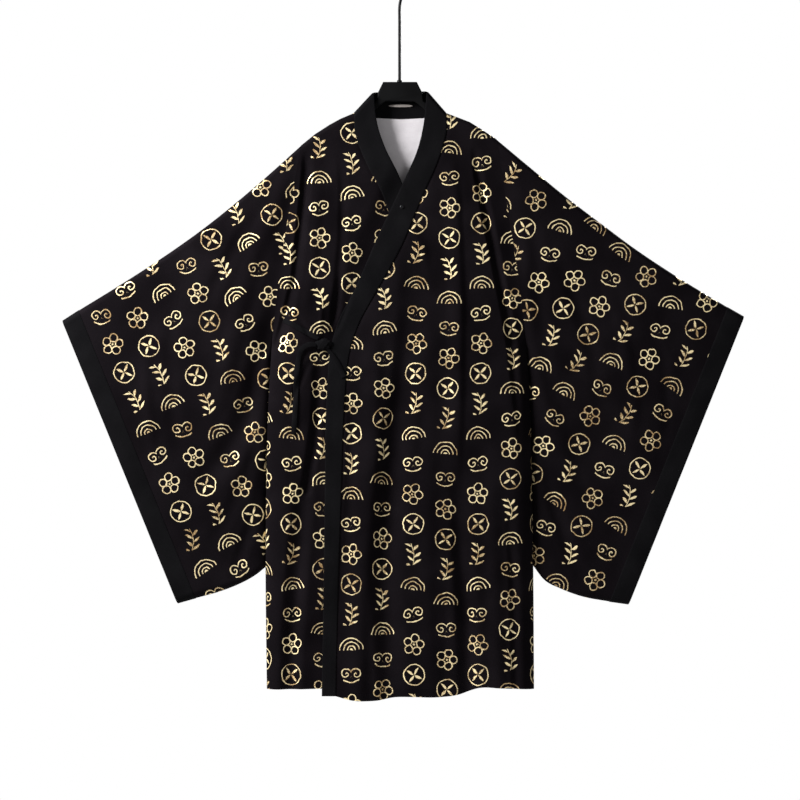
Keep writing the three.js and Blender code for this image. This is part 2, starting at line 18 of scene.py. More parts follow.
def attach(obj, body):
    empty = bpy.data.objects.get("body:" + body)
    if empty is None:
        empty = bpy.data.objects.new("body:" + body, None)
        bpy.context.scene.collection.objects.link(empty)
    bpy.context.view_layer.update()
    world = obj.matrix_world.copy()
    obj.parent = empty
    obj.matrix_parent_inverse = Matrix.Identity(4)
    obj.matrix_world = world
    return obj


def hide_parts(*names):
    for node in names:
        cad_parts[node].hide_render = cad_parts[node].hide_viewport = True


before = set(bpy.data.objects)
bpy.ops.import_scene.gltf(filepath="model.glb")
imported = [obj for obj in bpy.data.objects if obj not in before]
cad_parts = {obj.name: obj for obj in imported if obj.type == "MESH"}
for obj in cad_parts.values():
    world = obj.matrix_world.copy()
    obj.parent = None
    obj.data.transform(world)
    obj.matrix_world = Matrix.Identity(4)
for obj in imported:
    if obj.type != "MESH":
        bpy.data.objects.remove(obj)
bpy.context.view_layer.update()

BODY = "root"
LOG = logging.getLogger("cloak")

Array = np.ndarray
Pair = tuple[float, float]
Color = tuple[float, float, float]

UV_NAME = "cloth"
HEM_NAME = "hem_distance"
MERGE_DISTANCE = 0.00001


def smooth(t: Array) -> Array:
    """Soft step from 0 to 1 over t from 0 to 1."""
    t = np.clip(t, 0.0, 1.0)
    return t * t * (3.0 - 2.0 * t)


def rounded(t: Array) -> Array:
    """Quarter circle: 0 at the edge, 1 from t = 1 on."""
    return np.sqrt(1.0 - (1.0 - np.clip(t, 0.0, 1.0)) ** 2)


def lerp(a: Array, b: Array, t: Array) -> Array:
    """Value a share t of the way from a to b."""
    return a + (b - a) * t


@dataclass(frozen=True)
class Table:
    """Rows of named columns, the first of them rising."""

    columns: tuple[str, ...]
    rows: tuple[tuple[float, ...], ...]

    def column(self, name: str) -> Array:
        """All values of one column."""
        return np.array([row[self.columns.index(name)] for row in self.rows])

    def straight(self, at: Array, name: str) -> Array:
        """A column's value on straight lines between rows."""
        return np.interp(at, self.column(self.columns[0]), self.column(name))

    def curved(self, at: Array, name: str) -> Array:
        """A column's value on a smooth curve through the rows.

        Args:
            at: places along the first column.
            name: the column to read.

        Returns:
            The column's values there.
        """
        keys, values = self.column(self.columns[0]), self.column(name)
        at = np.clip(at, keys[0], keys[-1])
        spans = np.diff(keys)
        secants = np.diff(values) / spans
        slopes = np.concatenate([secants[:1], (secants[:-1] + secants[1:]) / 2, secants[-1:]])
        k = np.clip(np.searchsorted(keys, at, side="right") - 1, 0, len(spans) - 1)
        t = (at - keys[k]) / spans[k]
        start = (1 + 2 * t) * (1 - t) ** 2 * values[k] + t * (1 - t) ** 2 * spans[k] * slopes[k]
        end = t * t * (3 - 2 * t) * values[k + 1] - t * t * (1 - t) * spans[k] * slopes[k + 1]
        return start + end


@dataclass(frozen=True)
class Fold:
    """A trough (height below 0) or ridge along a path of (x, z, height), fading over its width.

    A lean above 0 makes the slope on the viewer's left of a downward path the steeper one.
    """

    width: float
    path: tuple[tuple[float, float, float], ...]
    lean: float = 0.0

    def height(self, x: Array, z: Array) -> Array:
        """How far the cloth stands out at these places.

        Args:
            x: places across the cloak.
            z: places up the cloak.

        Returns:
            The fold's height there, 0 beyond its width.
        """
        nearest = np.full(np.shape(x), np.inf)
        height = np.zeros(np.shape(x))
        for (ax, az, ah), (bx, bz, bh) in zip(self.path, self.path[1:]):
            dx, dz = bx - ax, bz - az
            t = np.clip(((x - ax) * dx + (z - az) * dz) / (dx * dx + dz * dz), 0.0, 1.0)
            side = np.sign(dx * (z - az) - dz * (x - ax))
            distance = np.hypot(x - ax - t * dx, z - az - t * dz) / (self.width * (1 + side * self.lean))
            closer = distance < nearest
            nearest = np.where(closer, distance, nearest)
            height = np.where(closer, lerp(ah, bh, t), height)
        return height * np.cos(math.pi / 2 * np.minimum(nearest, 1.0)) ** 2


@dataclass(frozen=True)
class Side:
    """One side of the cloak: the shoulder's tip and the sleeve's reach."""

    name: str
    sign: int
    shoulder: float
    shoulder_z: float
    reach_top: float
    reach_bottom: float
    cuff_top: Pair
    cuff_bottom: Pair


RIGHT = Side("right", -1, 0.189, -0.337, -0.611, -0.389, (-0.642, -0.670), (-0.4237, -1.2057))
LEFT = Side("left", 1, 0.182, -0.325, 0.6205, 0.3965, (0.652, -0.662), (0.433, -1.2076))

SHOULDER_LINE = Table(("x", "z"), (
    (-0.189, -0.337), (-0.162, -0.315), (-0.135, -0.2975), (-0.114, -0.286), (-0.088, -0.275),
    (-0.053, -0.237), (0.051, -0.235), (0.086, -0.275), (0.110, -0.284), (0.131, -0.292),
    (0.152, -0.305), (0.182, -0.325),
))
SIDE_LINE = Table(("down", "right", "left"), (
    (0.0, 0.189, 0.182), (0.15, 0.217, 0.207), (0.3, 0.238, 0.230), (0.45, 0.250, 0.244),
    (0.65, 0.2555, 0.250), (0.775, 0.256, 0.2515), (1.0, 0.2535, 0.253),
))
FRONT_COLUMNS = ("down", "free_x", "free_z", "seam_x", "seam_z")
LEFT_FRONT = Table(FRONT_COLUMNS, (
    (0.0, 0.0495, -0.2325, 0.086, -0.275), (0.04, 0.045, -0.286, 0.0865, -0.311),
    (0.095, 0.032, -0.345, 0.070, -0.368), (0.15, 0.006, -0.405, 0.044, -0.427),
    (0.245, -0.044, -0.512, -0.002, -0.535), (0.325, -0.091, -0.619, -0.055, -0.630),
    (0.355, -0.112, -0.658, -0.076, -0.668), (0.4, -0.131, -0.715, -0.096, -0.725),
    (0.48, -0.140, -0.820, -0.106, -0.820), (0.625, -0.143, -0.980, -0.112, -0.980),
    (0.83, -0.146, -1.200, -0.119, -1.200), (1.0, -0.149, -1.380, -0.123, -1.380),
))
RIGHT_FRONT = Table(FRONT_COLUMNS, (
    (0.0, -0.0505, -0.2345, -0.088, -0.275), (0.04, -0.046, -0.286, -0.086, -0.313),
    (0.095, -0.030, -0.339, -0.066, -0.368), (0.15, -0.002, -0.396, -0.038, -0.421),
    (0.245, 0.040, -0.505, 0.0, -0.527), (0.325, 0.089, -0.619, 0.053, -0.630),
    (0.355, 0.110, -0.658, 0.074, -0.668), (0.4, 0.129, -0.715, 0.094, -0.725),
    (0.48, 0.138, -0.820, 0.104, -0.820), (0.625, 0.141, -0.980, 0.110, -0.980),
    (0.83, 0.144, -1.200, 0.117, -1.200), (1.0, 0.147, -1.362, 0.121, -1.362),
))
HEM_WAVE = Table(("x", "rise"), (
    (-0.123, 0.0), (-0.091, -0.009), (-0.046, -0.011), (-0.008, -0.006), (0.076, -0.008),
    (0.112, -0.004), (0.150, 0.007), (0.188, 0.005), (0.253, 0.0),
))
NECK_SEAM = Table(("x", "z"), (
    (-0.088, -0.275), (-0.080, -0.2785), (-0.060, -0.283), (0.0, -0.286), (0.060, -0.283),
    (0.078, -0.2785), (0.086, -0.275),
))
SLEEVE_TOP = Table(("out", "right", "left"), (
    (0.0, -0.337, -0.325), (0.15, -0.394, -0.380), (0.3, -0.448, -0.434), (0.45, -0.498, -0.484),
    (0.6, -0.543, -0.533), (0.8, -0.598, -0.591), (1.0, -0.650, -0.644),
))
SLEEVE_BOTTOM = Table(("out", "right", "left"), (
    (0.0, -1.136, -1.133), (0.15, -1.152, -1.161), (0.35, -1.167, -1.177), (0.65, -1.183, -1.193),
    (1.0, -1.196, -1.2025),
))

# Troughs and ridges, each a path downwards
FRONT_FOLDS = (
    Fold(0.014, (
         (-0.180, -0.341, 0.0), (-0.180, -0.383, -0.00495), (-0.186, -0.450, -0.00715),
         (-0.194, -0.526, -0.00715), (-0.200, -0.583, -0.00605),
         (-0.213, -0.639, -0.0055), (-0.228, -0.693, -0.0055), (-0.243, -0.744, -0.0033),
         (-0.257, -0.792, 0.0)), lean=0.25),
    Fold(0.013, (
         (0.139, -0.337, 0.0), (0.146, -0.393, -0.00525), (0.160, -0.459, -0.00735),
         (0.173, -0.526, -0.007875), (0.186, -0.592, -0.00735), (0.198, -0.653, -0.00735),
         (0.209, -0.716, -0.006825), (0.217, -0.792, -0.00525), (0.224, -0.858, -0.00315),
         (0.230, -0.915, 0.0)), lean=0.2),
    Fold(0.036, (
         (0.032, -0.516, 0.0), (0.019, -0.592, -0.003), (0.015, -0.687, -0.005),
         (0.004, -0.782, -0.008), (-0.009, -0.858, -0.011), (-0.019, -0.934, -0.012),
         (-0.023, -1.010, -0.012), (-0.030, -1.086, -0.012), (-0.036, -1.162, -0.012),
         (-0.030, -1.238, -0.012), (-0.025, -1.314, -0.011), (-0.021, -1.399, -0.01)), lean=0.2),
    Fold(0.015, (
         (-0.156, -0.729, 0.0), (-0.158, -0.792, -0.004), (-0.160, -0.858, -0.006),
         (-0.169, -0.925, -0.007), (-0.180, -0.991, -0.007)), lean=0.1),
    Fold(0.026, (
         (-0.180, -0.953, 0.0), (-0.186, -1.029, -0.007), (-0.194, -1.105, -0.009),
         (-0.201, -1.200, -0.01), (-0.207, -1.295, -0.01), (-0.211, -1.399, -0.009))),
    Fold(0.026, (
         (0.106, -0.944, 0.0), (0.110, -1.029, -0.005), (0.114, -1.124, -0.0075),
         (0.120, -1.200, -0.0085), (0.123, -1.276, -0.009), (0.125, -1.399, -0.009)), lean=0.15),
    Fold(0.022, (
         (0.093, -0.345, 0.0), (0.104, -0.440, 0.003), (0.112, -0.630, 0.0045),
         (0.110, -0.820, 0.0045), (0.106, -0.934, 0.002), (0.103, -1.010, 0.0)), lean=-0.3),
    Fold(0.03, (
         (-0.055, -0.659, 0.0), (-0.048, -0.744, 0.004), (-0.049, -0.858, 0.005),
         (-0.057, -0.972, 0.0055), (-0.068, -1.086, 0.005), (-0.076, -1.200, 0.005),
         (-0.080, -1.399, 0.006)), lean=-0.2),
    Fold(0.018, (
         (-0.158, -0.373, 0.0), (-0.160, -0.468, 0.002), (-0.167, -0.554, 0.0025),
         (-0.177, -0.630, 0.002), (-0.184, -0.687, 0.0))),
    Fold(0.02, (
         (-0.236, -1.124, 0.0), (-0.239, -1.238, 0.004), (-0.241, -1.399, 0.004))),
    Fold(0.022, (
         (0.177, -0.896, 0.0), (0.173, -1.048, 0.0021), (0.180, -1.200, 0.0028),
         (0.188, -1.399, 0.0035))),
    Fold(0.022, (
         (0.055, -0.630, 0.0), (0.059, -0.782, 0.0011), (0.055, -0.934, 0.0015),
         (0.051, -1.124, 0.00175), (0.055, -1.276, 0.002), (0.059, -1.399, 0.002))),
    Fold(0.013, (
         (-0.116, -0.345, 0.0), (-0.110, -0.430, -0.0022), (-0.112, -0.516, -0.0026),
         (-0.120, -0.601, -0.003), (-0.127, -0.664, 0.0)), lean=0.2),
    Fold(0.01, (
         (-0.114, -0.573, 0.0), (-0.122, -0.621, -0.004), (-0.127, -0.664, -0.005),
         (-0.133, -0.702, 0.0)), lean=0.2),
    Fold(0.007, (
         (-0.093, -0.615, 0.0), (-0.104, -0.649, -0.0022), (-0.120, -0.687, -0.0022),
         (-0.135, -0.710, 0.0))),
    Fold(0.006, (
         (-0.146, -0.622, 0.0), (-0.150, -0.659, 0.0018), (-0.152, -0.698, 0.0012),
         (-0.154, -0.717, 0.0))),
    Fold(0.007, (
         (-0.211, -0.630, 0.0), (-0.194, -0.664, -0.0018), (-0.177, -0.691, -0.0022),
         (-0.162, -0.712, 0.0))),
    Fold(0.007, (
         (-0.241, -0.664, 0.0), (-0.215, -0.681, 0.0018), (-0.188, -0.695, 0.002),
         (-0.165, -0.710, 0.0))),
    Fold(0.009, (
         (-0.245, -0.748, 0.0), (-0.222, -0.729, -0.0024), (-0.196, -0.719, -0.0022),
         (-0.169, -0.721, 0.0))),
    Fold(0.01, (
         (-0.218, -0.877, 0.0), (-0.201, -0.810, -0.0024), (-0.179, -0.759, -0.0026),
         (-0.154, -0.729, 0.0))),
    Fold(0.016, (
         (-0.106, -0.767, 0.0), (-0.093, -0.858, -0.0026), (-0.097, -0.953, -0.003),
         (-0.104, -1.086, -0.0024), (-0.116, -1.238, 0.0)), lean=0.2),
    Fold(0.014, (
         (0.082, -1.124, 0.0), (0.086, -1.238, -0.0013), (0.082, -1.399, -0.00175))),
    Fold(0.015, (
         (0.203, -1.010, 0.0), (0.211, -1.124, -0.0034), (0.215, -1.238, -0.0045),
         (0.218, -1.399, -0.0055)), lean=0.25),
    Fold(0.012, (
         (-0.002, -0.468, 0.0), (0.021, -0.487, 0.0014), (0.044, -0.535, 0.0016),
         (0.055, -0.601, 0.0))),
)
BACK_FOLDS = (
    Fold(0.038, ((0.018, -0.520, 0.0), (0.004, -0.760, -0.006), (-0.012, -1.100, -0.008),
                 (-0.006, -1.400, -0.008))),
    Fold(0.028, ((-0.108, -0.700, 0.0), (-0.128, -1.000, -0.007), (-0.146, -1.400, -0.008))),
    Fold(0.028, ((0.112, -0.640, 0.0), (0.124, -0.980, -0.006), (0.150, -1.400, -0.008))),
    Fold(0.038, ((-0.058, -0.900, 0.0), (-0.070, -1.400, 0.006))),
    Fold(0.038, ((0.066, -0.860, 0.0), (0.078, -1.400, 0.006))),
    Fold(0.024, ((-0.160, -0.380, -0.002), (-0.182, -0.563, -0.005), (-0.205, -0.760, 0.0))),
    Fold(0.024, ((0.152, -0.370, -0.002), (0.178, -0.540, -0.005), (0.202, -0.740, 0.0))),
)
BACK_CREASES = (
    Fold(0.012, ((-0.174, -0.370, 0.0), (-0.190, -0.480, -0.004), (-0.208, -0.620, -0.003),
                 (-0.222, -0.720, 0.0))),
    Fold(0.012, ((0.168, -0.360, 0.0), (0.186, -0.500, -0.004), (0.204, -0.650, -0.003),
                 (0.224, -0.800, 0.0))),
    Fold(0.016, ((-0.030, -0.360, 0.0), (-0.020, -0.460, -0.002), (-0.012, -0.600, 0.0))),
    Fold(0.015, ((0.050, -0.420, 0.0), (0.056, -0.560, 0.0022), (0.050, -0.700, 0.0))),
    Fold(0.014, ((-0.070, -0.560, 0.0), (-0.080, -0.720, -0.0025), (-0.074, -0.860, 0.0))),
    Fold(0.014, ((0.180, -0.960, 0.0), (0.196, -1.120, 0.003), (0.206, -1.400, 0.004))),
    Fold(0.014, ((-0.184, -1.000, 0.0), (-0.200, -1.160, 0.003), (-0.214, -1.400, 0.004))),
    Fold(0.013, ((0.034, -1.060, 0.0), (0.036, -1.220, -0.0025), (0.030, -1.400, -0.003))),
)
SLEEVE_FOLDS = (
    Fold(0.04, (
         (-0.224, -0.641, 0.0), (-0.245, -0.691, -0.00675), (-0.260, -0.748, -0.00945),
         (-0.274, -0.812, -0.00945), (-0.298, -0.869, -0.00945), (-0.331, -0.925, -0.0081),
         (-0.372, -0.972, -0.0054), (-0.424, -1.002, 0.0))),
    Fold(0.026, (
         (-0.192, -0.364, 0.0), (-0.222, -0.421, 0.0025), (-0.260, -0.497, 0.003),
         (-0.293, -0.592, 0.003), (-0.314, -0.687, 0.0035), (-0.333, -0.782, 0.003),
         (-0.355, -0.858, 0.0))),
    Fold(0.02, (
         (-0.264, -0.450, 0.0), (-0.306, -0.516, -0.0024), (-0.351, -0.601, -0.0022),
         (-0.382, -0.687, 0.0))),
    Fold(0.022, (
         (-0.253, -0.782, 0.0), (-0.264, -0.877, -0.003), (-0.294, -0.972, -0.0035),
         (-0.333, -1.048, -0.003), (-0.372, -1.105, 0.0))),
    Fold(0.018, (
         (-0.253, -0.953, 0.0), (-0.272, -1.029, -0.003), (-0.298, -1.096, -0.003),
         (-0.314, -1.153, -0.002))),
    Fold(0.016, (
         (-0.477, -0.687, 0.0), (-0.484, -0.782, 0.0022), (-0.473, -0.896, 0.0022),
         (-0.450, -0.991, 0.0))),
    Fold(0.02, (
         (-0.420, -0.611, 0.0), (-0.439, -0.725, -0.002), (-0.431, -0.858, -0.0022),
         (-0.412, -0.953, 0.0))),
    Fold(0.024, (
         (0.241, -0.440, 0.0), (0.257, -0.535, -0.003), (0.264, -0.649, -0.0036),
         (0.274, -0.763, -0.003), (0.294, -0.858, 0.0))),
    Fold(0.022, (
         (0.274, -0.497, 0.0), (0.325, -0.611, -0.0028), (0.363, -0.725, -0.0026),
         (0.386, -0.858, 0.0))),
    Fold(0.028, (
         (0.253, -0.687, 0.0), (0.279, -0.820, 0.003), (0.314, -0.953, 0.003),
         (0.351, -1.086, 0.0))),
    Fold(0.02, (
         (0.257, -0.896, 0.0), (0.287, -1.010, -0.0034), (0.325, -1.115, -0.003),
         (0.359, -1.181, 0.0))),
    Fold(0.018, (
         (0.378, -0.554, 0.0), (0.420, -0.687, 0.0022), (0.443, -0.820, 0.0022),
         (0.435, -0.934, 0.0))),
    Fold(0.016, (
         (0.454, -0.630, 0.0), (0.500, -0.744, -0.0018), (0.507, -0.858, -0.0016),
         (0.483, -0.972, 0.0))),
)


@dataclass(frozen=True)
class Cut:
    """The cloak's cut: where its cloth hangs, as half depths in front of and behind the middle plane."""

    seam_lap: float = 0.0004
    edge_depth: float = 0.0005
    layer_step: float = 0.0065
    layer_ease: float = 0.045
    layer_from_z: float = -0.250
    layer_run: float = 0.060
    shoulder_depth: float = 0.0105
    hem_depth: float = 0.031
    depth_from_z: float = -0.320
    depth_run: float = 0.750
    armhole_depth: float = 0.010
    sleeve_depth: float = 0.013
    ridge_round: float = 0.010
    side_round: float = 0.042
    root_round: float = 0.040
    foot_round: float = 0.014
    fold_fade_top: float = 0.040
    fold_fade_side: float = 0.045
    hem_z: float = -1.368
    back_hem_rise: float = 0.003
    armhole_from: float = 0.3
    underarm: float = 0.375
    sleeve_foot: float = 0.775
    arch_end: float = 0.2
    wave_from: float = 0.85
    ripple: float = 0.0006
    slit: float = 0.00045

    def side_z(self, side: Side, down: Array) -> Array:
        """Height at a share of the side's length."""
        return side.shoulder_z - (side.shoulder_z - self.hem_z) * down

    def side_x(self, side: Side, down: Array) -> Array:
        """Half width at a share of the side's length."""
        return SIDE_LINE.curved(down, side.name)

    def open_armhole(self, down: Array) -> Array:
        """How open the armhole is: 1 above, rounding to 0 at the underarm."""
        closed = np.clip((down - self.armhole_from) / (self.underarm - self.armhole_from), 0.0, 1.0)
        return np.sqrt(1.0 - closed ** 2)

    def panel_edge(self, side: Side, down: Array) -> Array:
        """Half width of a body panel, which laps the side line a little."""
        return self.side_x(side, down) + self.seam_lap / 2

    def from_seam(self, depth: Array, down: Array, distance: Array) -> Array:
        """Half depth near the side seam, level with the armhole or rounding to nothing below it.

        Args:
            depth: half depth away from the seam.
            down: share of the side's length.
            distance: distance from the seam, 1 where its effect ends.

        Returns:
            The half depth there.
        """
        opened = self.open_armhole(down)
        edge = self.armhole_depth * opened
        return edge + (depth - edge) * lerp(rounded(distance), smooth(distance), opened)

    def ripples(self, x: Array, z: Array) -> Array:
        """Faint uneven waves that keep the cloth from looking pressed."""
        wave = np.sin(71 * x + 13 * z) * np.sin(37 * z + 19 * x + 1.3)
        return self.ripple * (wave + 0.6 * np.sin(118 * x - 29 * z + 0.7) * np.sin(59 * z + 2.1))

    def body_depth(self, x: Array, z: Array, folds: Sequence[Fold]) -> Array:
        """Half depth of the body's cloth.

        Args:
            x: places across.
            z: places up.
            folds: the folds on that side of the body.

        Returns:
            The distance from the middle plane.
        """
        depth = np.zeros(np.shape(x))
        fade = np.zeros(np.shape(x))
        from_ridge = SHOULDER_LINE.straight(x, "z") - z
        core = lerp(self.shoulder_depth, self.hem_depth, smooth((self.depth_from_z - z) / self.depth_run))
        for side, chosen in ((RIGHT, x < 0), (LEFT, x >= 0)):
            down = np.clip((side.shoulder_z - z) / (side.shoulder_z - self.hem_z), 0.0, 1.0)
            from_side = np.maximum(self.panel_edge(side, down) - np.abs(x), 0.0)
            depth = np.where(chosen, self.from_seam(core, down, from_side / self.side_round), depth)
            fade = np.where(chosen, self.seam_fade(down, from_side), fade)
        fade = fade * smooth(from_ridge / self.fold_fade_top)
        return depth * rounded(from_ridge / self.ridge_round) + self.relief(x, z, folds) * fade

    def seam_fade(self, down: Array, distance: Array) -> Array:
        """Share of the folds left near the side: all across the armhole, none at the closed seam."""
        return lerp(smooth(distance / self.fold_fade_side), 1.0, self.open_armhole(down))

    def relief(self, x: Array, z: Array, folds: Sequence[Fold]) -> Array:
        """Height of all folds and ripples."""
        return sum(fold.height(x, z) for fold in folds) + self.ripples(x, z)

    def layer_shift(self, x: Array, z: Array) -> Array:
        """How far the right front lies behind the left one."""
        edge = np.interp(-z, -LEFT_FRONT.column("free_z"), LEFT_FRONT.column("free_x"))
        under = smooth((x - edge + self.layer_ease) / self.layer_ease)
        return self.layer_step * under * smooth((self.layer_from_z - z) / self.layer_run)

    def front(self, side: Side, x: Array, z: Array) -> Array:
        """Half depth of one front, with the right one behind the left one where they cross."""
        depth = self.body_depth(x, z, FRONT_FOLDS + SLEEVE_FOLDS)
        return depth - (self.layer_shift(x, z) if side is RIGHT else 0.0)

    def back(self, x: Array, z: Array) -> Array:
        """Half depth of the back."""
        return self.body_depth(x, z, BACK_FOLDS + BACK_CREASES + SLEEVE_FOLDS)

    def sleeve_relief(self, x: Array, z: Array, facing: Array) -> Array:
        """Height of the folds on a sleeve's front wall (facing -1) and back wall (facing 1)."""
        front = self.relief(x, z, FRONT_FOLDS + SLEEVE_FOLDS)
        back = self.relief(x, z, BACK_FOLDS + BACK_CREASES + SLEEVE_FOLDS)
        return np.where(facing < 0, front, back)


def stations(count: int, dense_start: float = 0.0, dense_end: float = 0.0) -> Array:
    """Shares from 0 to 1, closer together at the ends.

    Args:
        count: number of steps.
        dense_start: from 0, even, to 1, packed towards the start.
        dense_end: the same for the end.

    Returns:
        The count + 1 shares.
    """
    t = np.linspace(0.0, 1.0, count + 1)
    start = 1.0 - np.cos(math.pi / 2 * t) - t
    end = np.sin(math.pi / 2 * t) - t
    return t + dense_start * start + dense_end * end


class Outward(Enum):
    """Which way a cloth's right side faces."""

    FRONT = "front"
    BACK = "back"
    AROUND = "around"


@dataclass
class Cloth:
    """A thin piece of cloth: a grid of points, its flat cut and its thickness."""

    name: str
    points: Array
    flat: Array
    outward: Outward
    thickness: float
    hem: Array | None = None
    bevel: float = 0.0
    bevel_segments: int = 2
    sharp_angle: float = math.radians(55)
    loop: bool = False
    cut_width: float = 0.0
    cut_length: float = 0.0
    cut_area: float = 0.0

    def measure(self) -> None:
        """Takes the width, length and area of the flat cut."""
        u, v = self.flat[..., 0], self.flat[..., 1]
        self.cut_width = float(np.ptp(u))
        self.cut_length = float(np.ptp(v))
        across = (u[1:, 1:] - u[:-1, :-1]) * (v[1:, :-1] - v[:-1, 1:])
        along = (u[1:, :-1] - u[:-1, 1:]) * (v[1:, 1:] - v[:-1, :-1])
        is_cloth = np.linalg.norm(np.diff(self.points[:-1], axis=1), axis=-1) > MERGE_DISTANCE
        self.cut_area = float((np.abs(across - along) * is_cloth).sum() / 2)

    def build(self, materials: Sequence[bpy.types.Material]) -> bpy.types.Object:
        """Makes the piece as a closed shell of even thickness.

        Args:
            materials: the right side's finish, then the reverse's if it differs.

        Returns:
            The finished object.
        """
        rows, columns = self.points.shape[0] - 1, self.points.shape[1] - 1
        bm = bmesh.new()
        bmesh.ops.create_grid(bm, x_segments=columns, y_segments=rows, size=0.5)
        uv_layer = bm.loops.layers.uv.new(UV_NAME)
        hem_layer = bm.verts.layers.float.new(HEM_NAME)
        flat_of = {}
        for vert in bm.verts:
            place = (round((vert.co.y + 0.5) * rows), round((vert.co.x + 0.5) * columns))
            flat_of[vert] = self.flat[place]
            vert.co = self.points[place]
            vert[hem_layer] = 1.0 if self.hem is None else self.hem[place]
        for face in bm.faces:
            face.smooth = True
            for corner in face.loops:
                corner[uv_layer].uv = flat_of[corner.vert]
        self.face_outward(bm)
        if self.loop:
            bmesh.ops.remove_doubles(bm, verts=bm.verts, dist=MERGE_DISTANCE)
        mesh = bpy.data.meshes.new(self.name)
        bm.to_mesh(mesh)
        bm.free()
        piece = bpy.data.objects.new(self.name, mesh)
        bpy.context.scene.collection.objects.link(piece)
        for material in materials:
            mesh.materials.append(material)
        shell = piece.modifiers.new("thickness", "SOLIDIFY")
        shell.thickness = self.thickness
        shell.offset = 0.0
        shell.material_offset = len(materials) - 1
        if self.bevel:
            soften_edges(piece, self.bevel, self.bevel_segments)
        settle(piece, self.sharp_angle)
        self.measure()
        return piece

    def face_outward(self, bm: bmesh.types.BMesh) -> None:
        """Turns the faces so that the right side is outside."""
        bm.normal_update()
        total = 0.0
        for face in bm.faces:
            centre = face.calc_center_median()
            wanted = {Outward.FRONT: -1.0, Outward.BACK: 1.0, Outward.AROUND: math.copysign(1.0, centre.y)}
            total += face.normal.y * wanted[self.outward] * face.calc_area()
        if total < 0:
            bmesh.ops.reverse_faces(bm, faces=bm.faces)


def soften_edges(piece: bpy.types.Object, width: float, segments: int) -> None:
    """Rounds a piece's edges with a Bevel modifier."""
    bevel = piece.modifiers.new("soft_edges", "BEVEL")
    bevel.width = width
    bevel.segments = segments
    bevel.limit_method = "ANGLE"
    bevel.angle_limit = math.radians(60)


def settle(piece: bpy.types.Object, sharp_angle: float) -> None:
    """Applies a piece's modifiers and keeps its edges crisp above an angle."""
    evaluated = piece.evaluated_get(bpy.context.evaluated_depsgraph_get())
    mesh = bpy.data.meshes.new_from_object(evaluated)
    piece.modifiers.clear()
    piece.data = mesh
    mesh.name = piece.name
    mesh.set_sharp_from_angle(angle=sharp_angle)


def finished(name: str, bm: bmesh.types.BMesh, material: bpy.types.Material) -> bpy.types.Object:
    """Makes an object of a closed bmesh.

    Args:
        name: the object's name.
        bm: the closed shape, freed here.
        material: its finish.

    Returns:
        The object, shaded smooth with crisp edges.
    """
    bmesh.ops.remove_doubles(bm, verts=bm.verts, dist=MERGE_DISTANCE)
    bmesh.ops.recalc_face_normals(bm, faces=bm.faces)
    for face in bm.faces:
        face.smooth = True
    mesh = bpy.data.meshes.new(name)
    bm.to_mesh(mesh)
    bm.free()
    mesh.materials.append(material)
    mesh.set_sharp_from_angle(angle=math.radians(40))
    piece = bpy.data.objects.new(name, mesh)
    bpy.context.scene.collection.objects.link(piece)
    return piece


def register(piece: bpy.types.Object, slot: str, *nodes: str) -> None:
    """Ties a piece to the frame: its body and the nodes that it stands for."""
    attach(piece, BODY)
    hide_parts(*nodes)
    LOG.info("%s: %d faces, stands for %s", piece.name, len(piece.data.polygons), ", ".join(nodes))


def declare(cloth: Cloth, piece: bpy.types.Object) -> None:
    """Logs a hung sheet with the size of its flat cut.

    Args:
        cloth: the cut.
        piece: the piece made from it.
    """
    flat = (cloth.cut_width, cloth.cut_length)
    LOG.info("%s: flat %.3f x %.3f m, %.3f m2", piece.name, *flat, cloth.cut_area)


class Number:
    """A shader socket's number. Its operators add Math nodes."""

    def __init__(self, graph: "Graph", socket: bpy.types.NodeSocket) -> None:
        """Wraps a socket of a graph."""
        self.graph = graph
        self.socket = socket

    def math(self, operation: str, *others: "Number | float") -> "Number":
        """Adds a Math node on this number and others."""
        return self.graph.math(operation, self, *others)

    def __add__(self, other: "Number | float") -> "Number":
        """Sum."""
        return self.math("ADD", other)

    def __sub__(self, other: "Number | float") -> "Number":
        """Difference."""
        return self.math("SUBTRACT", other)

    def __rsub__(self, other: float) -> "Number":
        """Difference from a plain number."""
        return self.graph.math("SUBTRACT", other, self)

    def __mul__(self, other: "Number | float") -> "Number":
        """Product."""
        return self.math("MULTIPLY", other)

    def __truediv__(self, other: "Number | float") -> "Number":
        """Quotient."""
        return self.math("DIVIDE", other)

    def __abs__(self) -> "Number":
        """Size without sign."""
        return self.math("ABSOLUTE")

    __radd__ = __add__
    __rmul__ = __mul__


